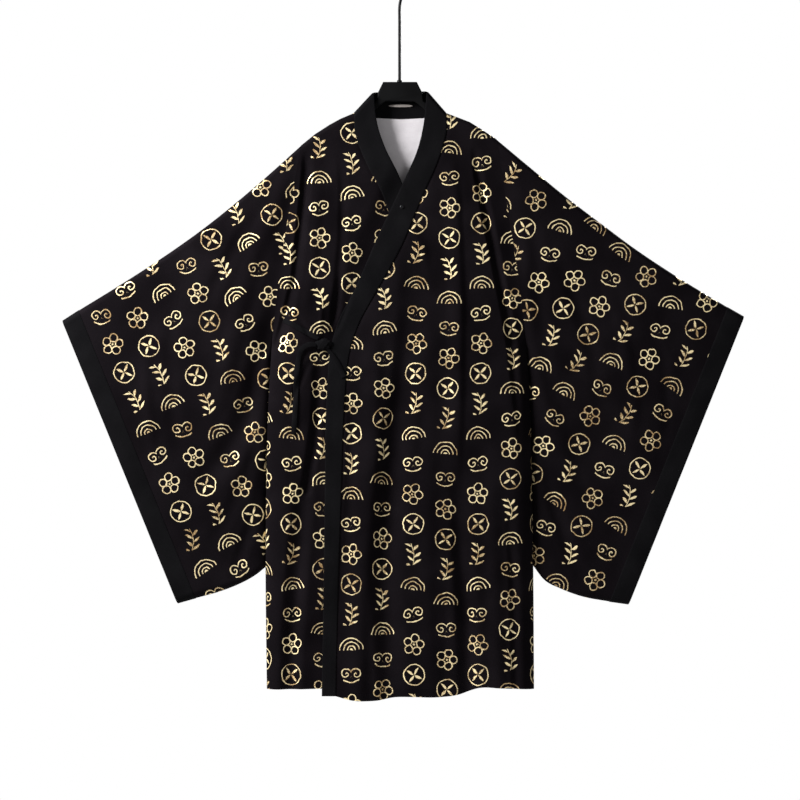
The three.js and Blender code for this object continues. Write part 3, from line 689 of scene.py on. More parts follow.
class Graph:
    """The nodes of one material."""

    def __init__(self, name: str) -> None:
        """Makes an empty material."""
        self.material = bpy.data.materials.new(name)
        self.material.use_nodes = True
        self.tree = self.material.node_tree
        self.tree.nodes.clear()

    def node(self, kind: str, settings: dict | None = None, inputs: dict | None = None) -> bpy.types.Node:
        """Adds a node.

        Args:
            kind: the node's type.
            settings: its properties, set first.
            inputs: values or links of its sockets, by name or index.

        Returns:
            The node.
        """
        made = self.tree.nodes.new(kind)
        for key, value in (settings or {}).items():
            setattr(made, key, value)
        for key, value in (inputs or {}).items():
            self.feed(made.inputs[key], value)
        return made

    def feed(self, socket: bpy.types.NodeSocket, value: object) -> None:
        """Links or sets a socket."""
        value = value.socket if isinstance(value, Number) else value
        if isinstance(value, bpy.types.NodeSocket):
            self.tree.links.new(value, socket)
        else:
            socket.default_value = (*value, 1.0) if socket.type == "RGBA" else value

    def math(self, operation: str, *values: Number | float) -> Number:
        """Adds a Math node."""
        made = self.node("ShaderNodeMath", {"operation": operation}, dict(enumerate(values)))
        return Number(self, made.outputs[0])

    def coordinates(self) -> tuple[Number, Number]:
        """The place on the flat cloth, in metres."""
        place = self.node("ShaderNodeUVMap", {"uv_map": UV_NAME}).outputs[0]
        parts = self.node("ShaderNodeSeparateXYZ", inputs={0: place}).outputs
        return Number(self, parts[0]), Number(self, parts[1])

    def vector(self, x: Number | float, y: Number | float, z: Number | float = 0.0) -> bpy.types.NodeSocket:
        """Joins three numbers."""
        return self.node("ShaderNodeCombineXYZ", inputs={0: x, 1: y, 2: z}).outputs[0]

    def noise(self, vector: bpy.types.NodeSocket, scale: float = 1.0, detail: float = 2.0) -> Number:
        """Noise around 0.5."""
        made = self.node("ShaderNodeTexNoise", inputs={"Vector": vector, "Scale": scale, "Detail": detail})
        return Number(self, made.outputs[0])

    def step(self, value: Number, low: float, high: float) -> Number:
        """Soft step from 0 at low to 1 at high, or the other way round if low is above high."""
        kind = {"interpolation_type": "SMOOTHSTEP"}
        if low > high:
            return 1.0 - self.step(value, high, low)
        made = self.node("ShaderNodeMapRange", kind, {"Value": value, "From Min": low, "From Max": high})
        return Number(self, made.outputs[0])

    def blend(self, factor: Number, a: object, b: object) -> bpy.types.NodeSocket:
        """Mixes two colours."""
        settings = {"data_type": "RGBA", "clamp_factor": True}
        made = self.node("ShaderNodeMix", settings)
        self.feed(made.inputs[0], factor)
        self.feed(made.inputs[6], a)
        self.feed(made.inputs[7], b)
        return made.outputs[2]

    def bump(self, height: Number, distance: float, strength: float = 1.0) -> bpy.types.NodeSocket:
        """Turns a height into a normal."""
        inputs = {"Height": height, "Distance": distance, "Strength": strength}
        return self.node("ShaderNodeBump", inputs=inputs).outputs[0]

    def surface(self, **sockets: object) -> bpy.types.Material:
        """Ends the material in a Principled shader with these sockets."""
        inputs = {key.replace("_", " "): value for key, value in sockets.items()}
        shader = self.node("ShaderNodeBsdfPrincipled", inputs=inputs)
        self.node("ShaderNodeOutputMaterial", inputs={0: shader.outputs[0]})
        return self.material


def hypot(a: Number, b: Number) -> Number:
    """Length of the vector (a, b)."""
    return (a * a + b * b).math("SQRT")


def nearest(first: Number, *others: Number) -> Number:
    """Joins shapes given by their distances."""
    for other in others:
        first = first.math("MINIMUM", other)
    return first


def leaf(along: Number, across: Number, half_length: float, half_width: float) -> Number:
    """Distance from a pointed leaf.

    Args:
        along: place along the leaf, from its middle.
        across: place across it.
        half_length: half its length.
        half_width: half its width.

    Returns:
        The distance, below 0 inside.
    """
    radius = (half_length ** 2 + half_width ** 2) / (2 * half_width)
    return hypot(along, abs(across) + (radius - half_width)) - radius


class Motif(Enum):
    """The print's motifs, all traditional ones: each is drawn in millimetres about its middle."""

    BLOSSOM = 0
    SPRIG = 1
    CLOUD = 2
    CASH_FLOWER = 3
    WAVE_FAN = 4

    def distance(self, x: Number, y: Number) -> Number:
        """Distance from the motif's gold, below 0 in it."""
        drawings: dict[Motif, Callable[[Number, Number], Number]] = {
            Motif.BLOSSOM: blossom,
            Motif.SPRIG: sprig,
            Motif.CLOUD: cloud,
            Motif.CASH_FLOWER: cash_flower,
            Motif.WAVE_FAN: wave_fan,
        }
        return drawings[self](x, y)


def blossom(x: Number, y: Number) -> Number:
    """Five looped petals round a dot."""
    half_sector = math.pi / 5
    reach = hypot(x, y)
    turn = y.math("ARCTAN2", x).math("WRAP", half_sector, -half_sector)
    petal_x = reach * turn.math("COSINE") - 12.6
    petal_y = reach * turn.math("SINE")
    petal = abs(hypot(petal_x, petal_y) - 7.2) - 1.1
    return nearest(petal, reach - 2.0)


def sprig(x: Number, y: Number) -> Number:
    """Alternate leaves on a bent stem."""
    bent = x + y * y * 0.011 - 2.0
    side = bent.math("SIGN")
    up = (y + side * 3.4).math("WRAP", 6.8, -6.8) + 3.0
    reach = abs(bent)
    cosine, sine = math.cos(math.radians(38)), math.sin(math.radians(38))
    blade = leaf(reach * cosine + up * sine - 8.6, up * cosine - reach * sine, 8.6, 2.3)
    stem = reach - 0.8
    ends = abs(y) - 20.5
    return nearest(blade, stem).math("MAXIMUM", ends)


def cloud(x: Number, y: Number) -> Number:
    """Two curls that face each other over a shallow arc."""
    pitch = 7.6
    curl_x, curl_y = abs(x) - 10.0, y - 2.0
    reach = hypot(curl_x, curl_y)
    turn = curl_y.math("ARCTAN2", curl_x) * (pitch / (2 * math.pi))
    curl = abs((reach - turn).math("WRAP", pitch / 2, -pitch / 2)) - 1.15
    curl = curl.math("MAXIMUM", reach - 11.2)
    arc = abs(hypot(x, y - 14.0) - 27.5) - 1.15
    arc = arc.math("MAXIMUM", abs(x) - 15.5).math("MAXIMUM", y)
    return nearest(curl, arc)


def cash_flower(x: Number, y: Number) -> Number:
    """Four petals in a ring."""
    half = math.sqrt(0.5)
    right, up = abs(x), abs(y)
    petal = leaf((right + up) * half - 8.6, (up - right) * half, 8.0, 2.3)
    ring = abs(hypot(x, y) - 19.5) - 1.05
    return nearest(petal, ring)


def wave_fan(x: Number, y: Number) -> Number:
    """Three nested arcs over a small half disc."""
    lifted = y + 10.0
    reach = hypot(x, lifted)
    arcs = abs((reach - 7.6).math("WRAP", 3.7, -3.7)) - 1.05
    fan = arcs.math("MAXIMUM", reach - 25.4).math("MAXIMUM", lifted * -1.0)
    return nearest(fan, (reach - 3.4).math("MAXIMUM", lifted * -1.0))


@dataclass(frozen=True)
class Weave:
    """Plain weave of uneven threads."""

    fine: float = 1500.0
    slub: float = 130.0
    relief: float = 0.00012

    def threads(self, graph: Graph, u: Number, v: Number) -> Number:
        """Height of the threads, from 0 to 1."""
        warp = graph.noise(graph.vector(u * self.fine, v * self.slub))
        weft = graph.noise(graph.vector(u * self.slub, v * self.fine, 7.0))
        return (warp + weft) * 0.5


@dataclass(frozen=True)
class PrintedCloth:
    """Near-black cloth with gold motifs in half-drop columns."""

    column_pitch: float = 0.062
    row_pitch: float = 0.057
    tilt: float = 0.55
    start_row: float = 40.5
    row_skip: float = 2.0
    wobble: float = 5.0
    wobble_scale: float = 75.0
    ground: Color = (0.0036, 0.0027, 0.0035)
    ground_worn: Color = (0.0064, 0.0050, 0.0062)
    gold: Color = (0.96, 0.80, 0.47)
    bronze: Color = (0.36, 0.23, 0.105)
    metallic: float = 0.42
    slimming: float = 0.16
    edge_softness: float = 0.35
    foil_relief: float = 0.00010
    stitch_line: float = 0.014
    weave: Weave = Weave()

    def chance(self, graph: Graph, cell: bpy.types.NodeSocket) -> Number:
        """Random number from 0 to 1 for a cell."""
        noise = graph.node("ShaderNodeTexWhiteNoise", {"noise_dimensions": "2D"}, {"Vector": cell})
        return Number(graph, noise.outputs[0])

    def print_distance(self, graph: Graph, u: Number, v: Number) -> tuple[Number, Number]:
        """Distance from the nearest gold in millimetres, and a number of its own for each motif.

        Args:
            graph: the material's nodes.
            u: place across the flat cloth.
            v: place along it.

        Returns:
            The distance, and a random number for each motif.
        """
        across = u / self.column_pitch
        column = across.math("FLOOR")
        along = v / self.row_pitch + column.math("FLOORED_MODULO", 2.0) * 0.5
        row = along.math("FLOOR")
        x = (across - column - 0.5) * (self.column_pitch * 1000)
        y = (along - row - 0.5) * (self.row_pitch * 1000)
        chance = self.chance(graph, graph.vector(column, row))
        start = self.chance(graph, graph.vector(column, self.start_row)) * float(len(Motif))
        kind = (row * self.row_skip + start.math("FLOOR")).math("FLOORED_MODULO", float(len(Motif)))
        angle = (chance - 0.5) * self.tilt
        cosine, sine = angle.math("COSINE"), angle.math("SINE")
        turned_x, turned_y = x * cosine + y * sine, y * cosine - x * sine
        wobble = graph.noise(graph.vector(u, v), self.wobble_scale)
        other_wobble = graph.noise(graph.vector(v, u), self.wobble_scale)
        turned_x = turned_x + (wobble - 0.5) * self.wobble
        turned_y = turned_y + (other_wobble - 0.5) * self.wobble
        distance = None
        for motif in Motif:
            chosen = kind.math("COMPARE", float(motif.value), 0.5)
            part = motif.distance(turned_x, turned_y) * chosen
            distance = part if distance is None else distance + part
        return distance, chance

    def build(self) -> bpy.types.Material:
        """Makes the material."""
        graph = Graph("printed_cloth")
        u, v = graph.coordinates()
        distance, chance = self.print_distance(graph, u, v)
        place = graph.vector(u, v)
        brush = graph.noise(place, 420.0)
        edge = distance + self.slimming + (brush - 0.5) * 1.1
        foil = graph.step(edge, self.edge_softness, -self.edge_softness)
        threads = self.weave.threads(graph, u, v)
        broad = graph.noise(place, 9.0)
        ground = graph.blend(graph.step(broad + (threads - 0.5) * 0.7, 0.3, 0.75),
                             self.ground, self.ground_worn)
        speckle = (brush - 0.5) * 1.3 + (threads - 0.5) * 0.6
        tone = graph.step(graph.noise(place, 40.0) + (chance - 0.5) * 0.3 + speckle, 0.25, 0.62)
        gold = graph.blend(tone, self.bronze, self.gold)
        hem = Number(graph, graph.node("ShaderNodeAttribute", {"attribute_name": HEM_NAME}).outputs["Fac"])
        stitch = graph.step(abs(hem - self.stitch_line), 0.0012, 0.0004)
        height = threads * 0.5 + foil * 0.4 - stitch * 1.6
        return graph.surface(
            Base_Color=graph.blend(foil, ground, gold),
            Metallic=foil * self.metallic,
            Roughness=0.9 - foil * (0.42 + (brush - 0.5) * 0.3),
            Specular_IOR_Level=0.02,
            Sheen_Weight=0.006,
            Sheen_Roughness=0.45,
            Normal=graph.bump(height, self.weave.relief + self.foil_relief),
        )


@dataclass(frozen=True)
class PlainCloth:
    """Plain woven cloth of one colour, with thread and wear variation."""

    name: str
    color: Color
    worn: Color
    roughness: float = 0.9
    specular: float = 0.02
    sheen: float = 0.005
    wrinkles: float = 0.0
    weave: Weave = Weave()

    def build(self) -> bpy.types.Material:
        """Makes the material."""
        graph = Graph(self.name)
        u, v = graph.coordinates()
        place = graph.vector(u, v)
        threads = self.weave.threads(graph, u, v)
        wrinkles = graph.noise(graph.vector(u * 14.0, v * 46.0), 1.0, 3.0) * self.wrinkles
        broad = graph.noise(place, 12.0, 3.0)
        tone = graph.step(broad + (threads - 0.5) * 0.8, 0.25, 0.8)
        return graph.surface(
            Base_Color=graph.blend(tone, self.color, self.worn),
            Roughness=self.roughness + (broad - 0.5) * 0.12,
            Specular_IOR_Level=self.specular,
            Sheen_Weight=self.sheen,
            Sheen_Roughness=0.45,
            Normal=graph.bump(threads + wrinkles, self.weave.relief),
        )


@dataclass(frozen=True)
class Coating:
    """Hard black finish with a faint grain, on Object coordinates."""

    name: str
    color: Color
    roughness: float
    metallic: float
    grain: float
    specular: float = 0.5

    def build(self) -> bpy.types.Material:
        """Makes the material."""
        graph = Graph(self.name)
        place = graph.node("ShaderNodeTexCoord").outputs["Object"]
        grain = graph.noise(place, self.grain, 4.0)
        smudge = graph.noise(place, 35.0, 2.0)
        lighter = tuple(1.6 * part for part in self.color)
        return graph.surface(
            Base_Color=graph.blend(smudge, self.color, lighter),
            Roughness=self.roughness + (smudge - 0.5) * 0.16,
            Metallic=self.metallic,
            Specular_IOR_Level=self.specular,
            Normal=graph.bump(grain, 0.00006),
        )


@dataclass(frozen=True)
class Finishes:
    """Every finish of the cloak and its hanger."""

    printed: bpy.types.Material
    reverse: bpy.types.Material
    band: bpy.types.Material
    label: bpy.types.Material
    hanger: bpy.types.Material
    wire: bpy.types.Material
    snap: bpy.types.Material

    @staticmethod
    def make() -> "Finishes":
        """Makes all materials."""
        return Finishes(
            printed=PrintedCloth().build(),
            reverse=PlainCloth("cloth_reverse", (0.57, 0.54, 0.56), (0.67, 0.64, 0.66),
                               0.85, 0.2, 0.05, 14.0).build(),
            band=PlainCloth("band_cloth", (0.0036, 0.0034, 0.0039), (0.0060, 0.0058, 0.0065)).build(),
            label=PlainCloth("label_tape", (0.27, 0.24, 0.225), (0.38, 0.34, 0.32), 0.7, 0.3).build(),
            hanger=Coating("hanger_satin", (0.0024, 0.0024, 0.0026), 0.55, 0.0, 900.0, 0.06).build(),
            wire=Coating("hook_enamel", (0.0024, 0.0024, 0.0026), 0.38, 0.0, 300.0, 0.1).build(),
            snap=Coating("snap_enamel", (0.006, 0.006, 0.007), 0.36, 0.5, 700.0).build(),
        )


def row_lengths(points: Array) -> Array:
    """Distance of each point from its row's first one, seen from above."""
    steps = np.hypot(*np.moveaxis(np.diff(points[..., :2], axis=1), -1, 0))
    return np.concatenate([np.zeros((len(points), 1)), np.cumsum(steps, axis=1)], axis=1)


@dataclass
class BodyPanels:
    """The back and the two fronts."""

    cut: Cut
    rows: int = 240
    front_columns: int = 124
    back_columns: int = 128
    thickness: float = 0.0008
    seam_roll: float = 0.0009
    seam_roll_width: float = 0.004

    def rolled(self, distance: Array) -> Array:
        """How far the cloth dips towards a seam."""
        return self.seam_roll * np.exp(-(distance / self.seam_roll_width) ** 2)

    def front(self, side: Side, rows: Table, hem_rise: Callable[[Array], Array]) -> Cloth:
        """One front, from its band's seam to the side.

        Args:
            side: which side.
            rows: the edge's table.
            hem_rise: how far the hem lies above the straight line, by place across.

        Returns:
            The panel.
        """
        cut = self.cut
        down = stations(self.rows, dense_start=0.8)[:, None]
        across = stations(self.front_columns, dense_end=0.8)[None, :]
        seam_x = rows.curved(down, "seam_x") - side.sign * cut.seam_lap / 2
        seam_z = rows.curved(down, "seam_z")
        x = lerp(seam_x, side.sign * cut.panel_edge(side, down), across)
        level = lerp(seam_z, cut.side_z(side, down), across)
        start_x, start_z = rows.rows[0][3:]
        top_x = lerp(start_x, side.sign * side.shoulder, across)
        arch = SHOULDER_LINE.straight(top_x, "z") - lerp(start_z, side.shoulder_z, across)
        wave = smooth((down - cut.wave_from) / (1 - cut.wave_from))
        z = level + arch * (1 - smooth(down / cut.arch_end)) + hem_rise(x) * wave
        depth = cut.front(side, x, z) - self.rolled(np.abs(x - seam_x)) * smooth(down / 0.03)
        points = np.stack([x, -np.maximum(depth, cut.edge_depth), z], axis=-1)
        flat = np.stack([seam_x + side.sign * row_lengths(points), z], axis=-1)
        hem = z - z[-1:, :]
        return Cloth(f"front_{side.name}_cloth", points, flat, Outward.FRONT, self.thickness, hem)

    def back(self) -> Cloth:
        """The back, from the shoulder line and the neck seam to the hem."""
        cut = self.cut
        down = stations(self.rows, dense_start=0.8)[:, None]
        half = stations(self.back_columns // 2, dense_end=0.8)
        across = np.concatenate([-half[:0:-1], half])[None, :]
        edge = np.where(across < 0, cut.panel_edge(RIGHT, down), cut.panel_edge(LEFT, down))
        shoulder = np.where(across < 0, RIGHT.shoulder, LEFT.shoulder)
        x = across * edge
        neck = (across * shoulder > NECK_SEAM.rows[0][0]) & (across * shoulder < NECK_SEAM.rows[-1][0])
        ridge = SHOULDER_LINE.straight(across * shoulder, "z")
        top = np.where(neck, NECK_SEAM.straight(across * shoulder, "z") + cut.seam_lap, ridge)
        z = lerp(top, cut.hem_z + cut.back_hem_rise * (1 - across ** 2), down)
        points = np.stack([x, np.maximum(cut.back(x, z), cut.edge_depth), z], axis=-1)
        lengths = row_lengths(points)
        middle = self.back_columns // 2
        flat = np.stack([lengths - lengths[:, middle:middle + 1], z], axis=-1)
        return Cloth("back_cloth", points, flat, Outward.BACK, self.thickness, z - z[-1:, :])

    def build(self, finishes: Finishes) -> dict[str, tuple[Cloth, bpy.types.Object]]:
        """Makes the three panels."""
        cloths = {
            "back": self.back(),
            "front_right": self.front(RIGHT, RIGHT_FRONT, lambda x: 0.0 * x),
            "front_left": self.front(LEFT, LEFT_FRONT, lambda x: HEM_WAVE.curved(x, "rise")),
        }
        made = {}
        for node, cloth in cloths.items():
            piece = cloth.build((finishes.printed, finishes.reverse))
            register(piece, "printed_cloth", node)
            made[node] = (cloth, piece)
        return made


@dataclass
class CollarBands:
    """The neck band and the two front bands, of doubled cloth."""

    cut: Cut
    thickness: float = 0.002
    puff: float = 0.0007
    lip: float = 0.0008
    tip_depth: float = 0.0024
    tip_round: float = 0.010
    tip_run: float = 0.02
    rows: int = 240
    columns: int = 12
    neck_steps: int = 60
    edge: float = 0.0008

    def tip_drop(self, from_tip: Array) -> Array:
        """How far the collar's corner is rounded down."""
        return self.tip_depth * (1 - rounded(from_tip / self.tip_round))

    def front_band(self, side: Side, rows: Table) -> Cloth:
        """A front band, from its free edge to its seam."""
        cut = self.cut
        down = stations(self.rows, dense_start=0.8)[:, None]
        across = stations(self.columns, 0.4, 0.4)[None, :]
        lap = side.sign * cut.seam_lap / 2
        free_x, free_z = rows.curved(down, "free_x"), rows.curved(down, "free_z")
        seam_x, seam_z = rows.curved(down, "seam_x") + lap, rows.curved(down, "seam_z")
        x, z = lerp(free_x, seam_x, across), lerp(free_z, seam_z, across)
        corner = np.hypot(free_x[0] - seam_x[0], free_z[0] - seam_z[0]) * across
        z = z - self.tip_drop(corner) * (1 - smooth(down / self.tip_run))
        fade = smooth(down / 0.05)
        swell = self.puff * np.sin(math.pi * across) + self.lip * (1 - smooth(across / 0.5))
        depth = cut.front(side, x, z) + swell * fade
        points = np.stack([x, -np.maximum(depth, cut.edge_depth), z], axis=-1)
        middle = np.stack([(free_x + seam_x)[:, 0] / 2, (free_z + seam_z)[:, 0] / 2], axis=-1)
        steps = np.hypot(*np.diff(middle, axis=0).T)
        along = np.concatenate([[0.0], np.cumsum(steps)])[:, None]
        width = np.hypot(seam_x - free_x, seam_z - free_z)
        flat = np.stack([width * across, along + 0 * across], axis=-1)
        return Cloth(f"band_{side.name}_cloth", points, flat, Outward.FRONT, self.thickness, bevel=self.edge)

    def neck_band(self) -> Cloth:
        """The band behind the neck, which stands up from the back's neck seam."""
        cut = self.cut
        first, last = NECK_SEAM.rows[0][0], NECK_SEAM.rows[-1][0]
        part = stations(self.neck_steps, 0.4, 0.4)[None, :]
        up = stations(self.columns, 0.4, 0.4)[:, None]
        seam_x = lerp(first, last, part)
        seam_z = NECK_SEAM.straight(seam_x, "z")
        seam_y = np.maximum(cut.back(seam_x, seam_z), cut.edge_depth)
        from_tip = np.minimum(seam_x - first, last - seam_x)
        free_y = np.maximum(cut.shoulder_depth * rounded(from_tip / cut.ridge_round), cut.edge_depth)
        tips = [table.rows[0][1:3] for table in (RIGHT_FRONT, LEFT_FRONT)]
        free_x, free_z = lerp(tips[0][0], tips[1][0], part), lerp(tips[0][1], tips[1][1], part)
        free_z = free_z - self.tip_drop(from_tip)
        swell = self.puff * np.sin(math.pi * up) * np.sin(math.pi * part)
        x, z = lerp(seam_x, free_x, up), lerp(seam_z, free_z, up)
        points = np.stack([x, lerp(seam_y, free_y, up) + swell, z], axis=-1)
        height = np.hypot(seam_x - free_x, seam_z - free_z)
        flat = np.stack([seam_x + 0 * up, height * up], axis=-1)
        return Cloth("band_neck_cloth", points, flat, Outward.BACK, self.thickness, bevel=self.edge)

    def build(self, finishes: Finishes) -> dict[str, tuple[Cloth, bpy.types.Object]]:
        """Makes the three bands."""
        cloths = {
            "band_neck": self.neck_band(),
            "band_right": self.front_band(RIGHT, RIGHT_FRONT),
            "band_left": self.front_band(LEFT, LEFT_FRONT),
        }
        made = {}
        for node, cloth in cloths.items():
            piece = cloth.build((finishes.band,))
            register(piece, "band_cloth", node)
            made[node] = (cloth, piece)
        return made


@dataclass
class Sleeve:
    """One wide sleeve and its cuff band."""

    cut: Cut
    side: Side
    wall_steps: int = 130
    out_steps: int = 84
    cuff_steps: int = 10
    thickness: float = 0.0008
    cuff_thickness: float = 0.002
    cuff_width: float = 0.036
    cuff_edge: float = 0.0008
    cuff_start: float = -0.0003
    cuff_puff: float = 0.0006

    def around(self) -> tuple[Array, Array]:
        """Places round the sleeve: down the front wall, then up the back one.

        Returns:
            The share of the way down, and -1 on the front wall or 1 on the back one.
        """
        half = stations(self.wall_steps)
        dense = 0.5 - 0.5 * np.cos(math.pi * half)
        part = lerp(half, dense, 0.55)
        down = np.concatenate([part, part[::-1]])[None, :]
        facing = np.repeat([-1.0, 1.0], len(part))[None, :]
        return down, facing

    def loop(self, top: Array, bottom: Array, bow: Array,
             depth: Callable[[Array, Array, Array], Array]) -> Array:
        """Points of the cloth between an upper fold and a lower seam.

        Args:
            top: upper fold's x and z for each row.
            bottom: lower seam's x and z for each row.
            bow: how far each point lies out from the straight line between them.
            depth: half depth by x, z and facing.

        Returns:
            The grid of points.
        """
        part, facing = self.around()
        length = np.hypot(*(bottom - top).T)[:, None]
        x = lerp(top[:, :1], bottom[:, :1], part) + bow
        z = lerp(top[:, 1:], bottom[:, 1:], part)
        upper = rounded(part * length / self.cut.ridge_round)
        lower = rounded((1 - part) * length / self.cut.foot_round)
        folded = (part <= 0) | (part >= 1)
        y = np.where(folded, 0.0, np.maximum(depth(x, z, facing) * upper * lower, self.cut.slit))
        return np.stack([x, facing * y, z], axis=-1)

    def flat(self, points: Array, top: Array) -> Array:
        """The sleeve opened out flat along its upper fold, with the cuff's edge upright.

        Args:
            points: the grid of points.
            top: upper fold's x and z for each row.

        Returns:
            Flat places of the points.
        """
        side = self.side
        _, facing = self.around()
        place = points[..., [0, 2]]
        fold = np.array([side.reach_top, SLEEVE_TOP.rows[-1][1 if side is RIGHT else 2]]) - top[0]
        fold = fold / np.hypot(*fold)
        offset = place - top[:, None, :]
        mirrored = 2 * (offset @ fold)[..., None] * fold - offset + top[:, None, :]
        place = np.where((facing > 0)[..., None], mirrored, place)
        edge = np.array(side.cuff_top) - np.array(side.cuff_bottom)
        up = edge / np.hypot(*edge)
        right = np.array([up[1], -up[0]])
        return np.stack([place @ right, place @ up], axis=-1)

    def ends(self) -> tuple[Array, Array]:
        """Top and bottom of the sleeve's outer end, each as x and z."""
        name = self.side.name
        top = np.array([self.side.reach_top, float(SLEEVE_TOP.curved(1.0, name))])
        bottom = np.array([self.side.reach_bottom, float(SLEEVE_BOTTOM.curved(1.0, name))])
        return top, bottom

    def body(self) -> Cloth:
        """The printed sleeve, from the armhole seam to the cuff band."""
        cut, side = self.cut, self.side
        out = stations(self.out_steps, dense_start=0.5)
        root_top = side.sign * float(cut.side_x(side, 0.0))
        root_bottom = side.sign * float(cut.side_x(side, cut.sleeve_foot))
        top_x, bottom_x = lerp(root_top, side.reach_top, out), lerp(root_bottom, side.reach_bottom, out)
        top = np.stack([top_x, SLEEVE_TOP.curved(out, side.name)], axis=-1)
        bottom = np.stack([bottom_x, SLEEVE_BOTTOM.curved(out, side.name)], axis=-1)
        part, _ = self.around()
        down = part * cut.sleeve_foot
        curve = side.sign * cut.side_x(side, down) - lerp(root_top, root_bottom, part)
        rest = 1 - out[:, None]
        bow = curve * rest ** 2 - side.sign * cut.seam_lap * rest
        length = lerp(abs(side.reach_top - root_top), abs(side.reach_bottom - root_bottom), part)

        def depth(x: Array, z: Array, facing: Array) -> Array:
            """Half depth, from the armhole's out to the sleeve's own."""
            distance = out[:, None] * length
            plain = cut.from_seam(cut.sleeve_depth, down, distance / cut.root_round)
            return plain + cut.sleeve_relief(x, z, facing) * cut.seam_fade(down, distance)

        points = self.loop(top, bottom, bow, depth)
        flat = self.flat(points, top)
        return Cloth(f"sleeve_{side.name}_cloth", points, flat, Outward.AROUND, self.thickness, loop=True)

    def cuff(self) -> Cloth:
        """The cuff band, from the sleeve's end to the open mouth."""
        side = self.side
        inner_top, inner_bottom = self.ends()
        out = lerp(self.cuff_start / self.cuff_width, 1.0, stations(self.cuff_steps, 0.4, 0.4))[:, None]
        top = lerp(inner_top, np.array(side.cuff_top), out)
        bottom = lerp(inner_bottom, np.array(side.cuff_bottom), out)

        def depth(x: Array, z: Array, facing: Array) -> Array:
            """Half depth, a little puffed between seam and edge."""
            puff = self.cuff_puff * np.sin(math.pi * out)
            return self.cut.sleeve_depth + self.cut.sleeve_relief(x, z, facing) + puff

        points = self.loop(top, bottom, 0.0 * out, depth)
        flat = self.flat(points, top)
        return Cloth(f"cuff_{side.name}_cloth", points, flat, Outward.AROUND, self.cuff_thickness,
                     bevel=self.cuff_edge, loop=True)

    def build(self, finishes: Finishes) -> None:
        cloth, cuff = self.body(), self.cuff()
        piece = cloth.build((finishes.printed, finishes.reverse))
        register(piece, "printed_cloth", f"sleeve_{self.side.name}")
        band = cuff.build((finishes.band,))
        register(band, "band_cloth", f"cuff_{self.side.name}")
        declare(cloth, piece)


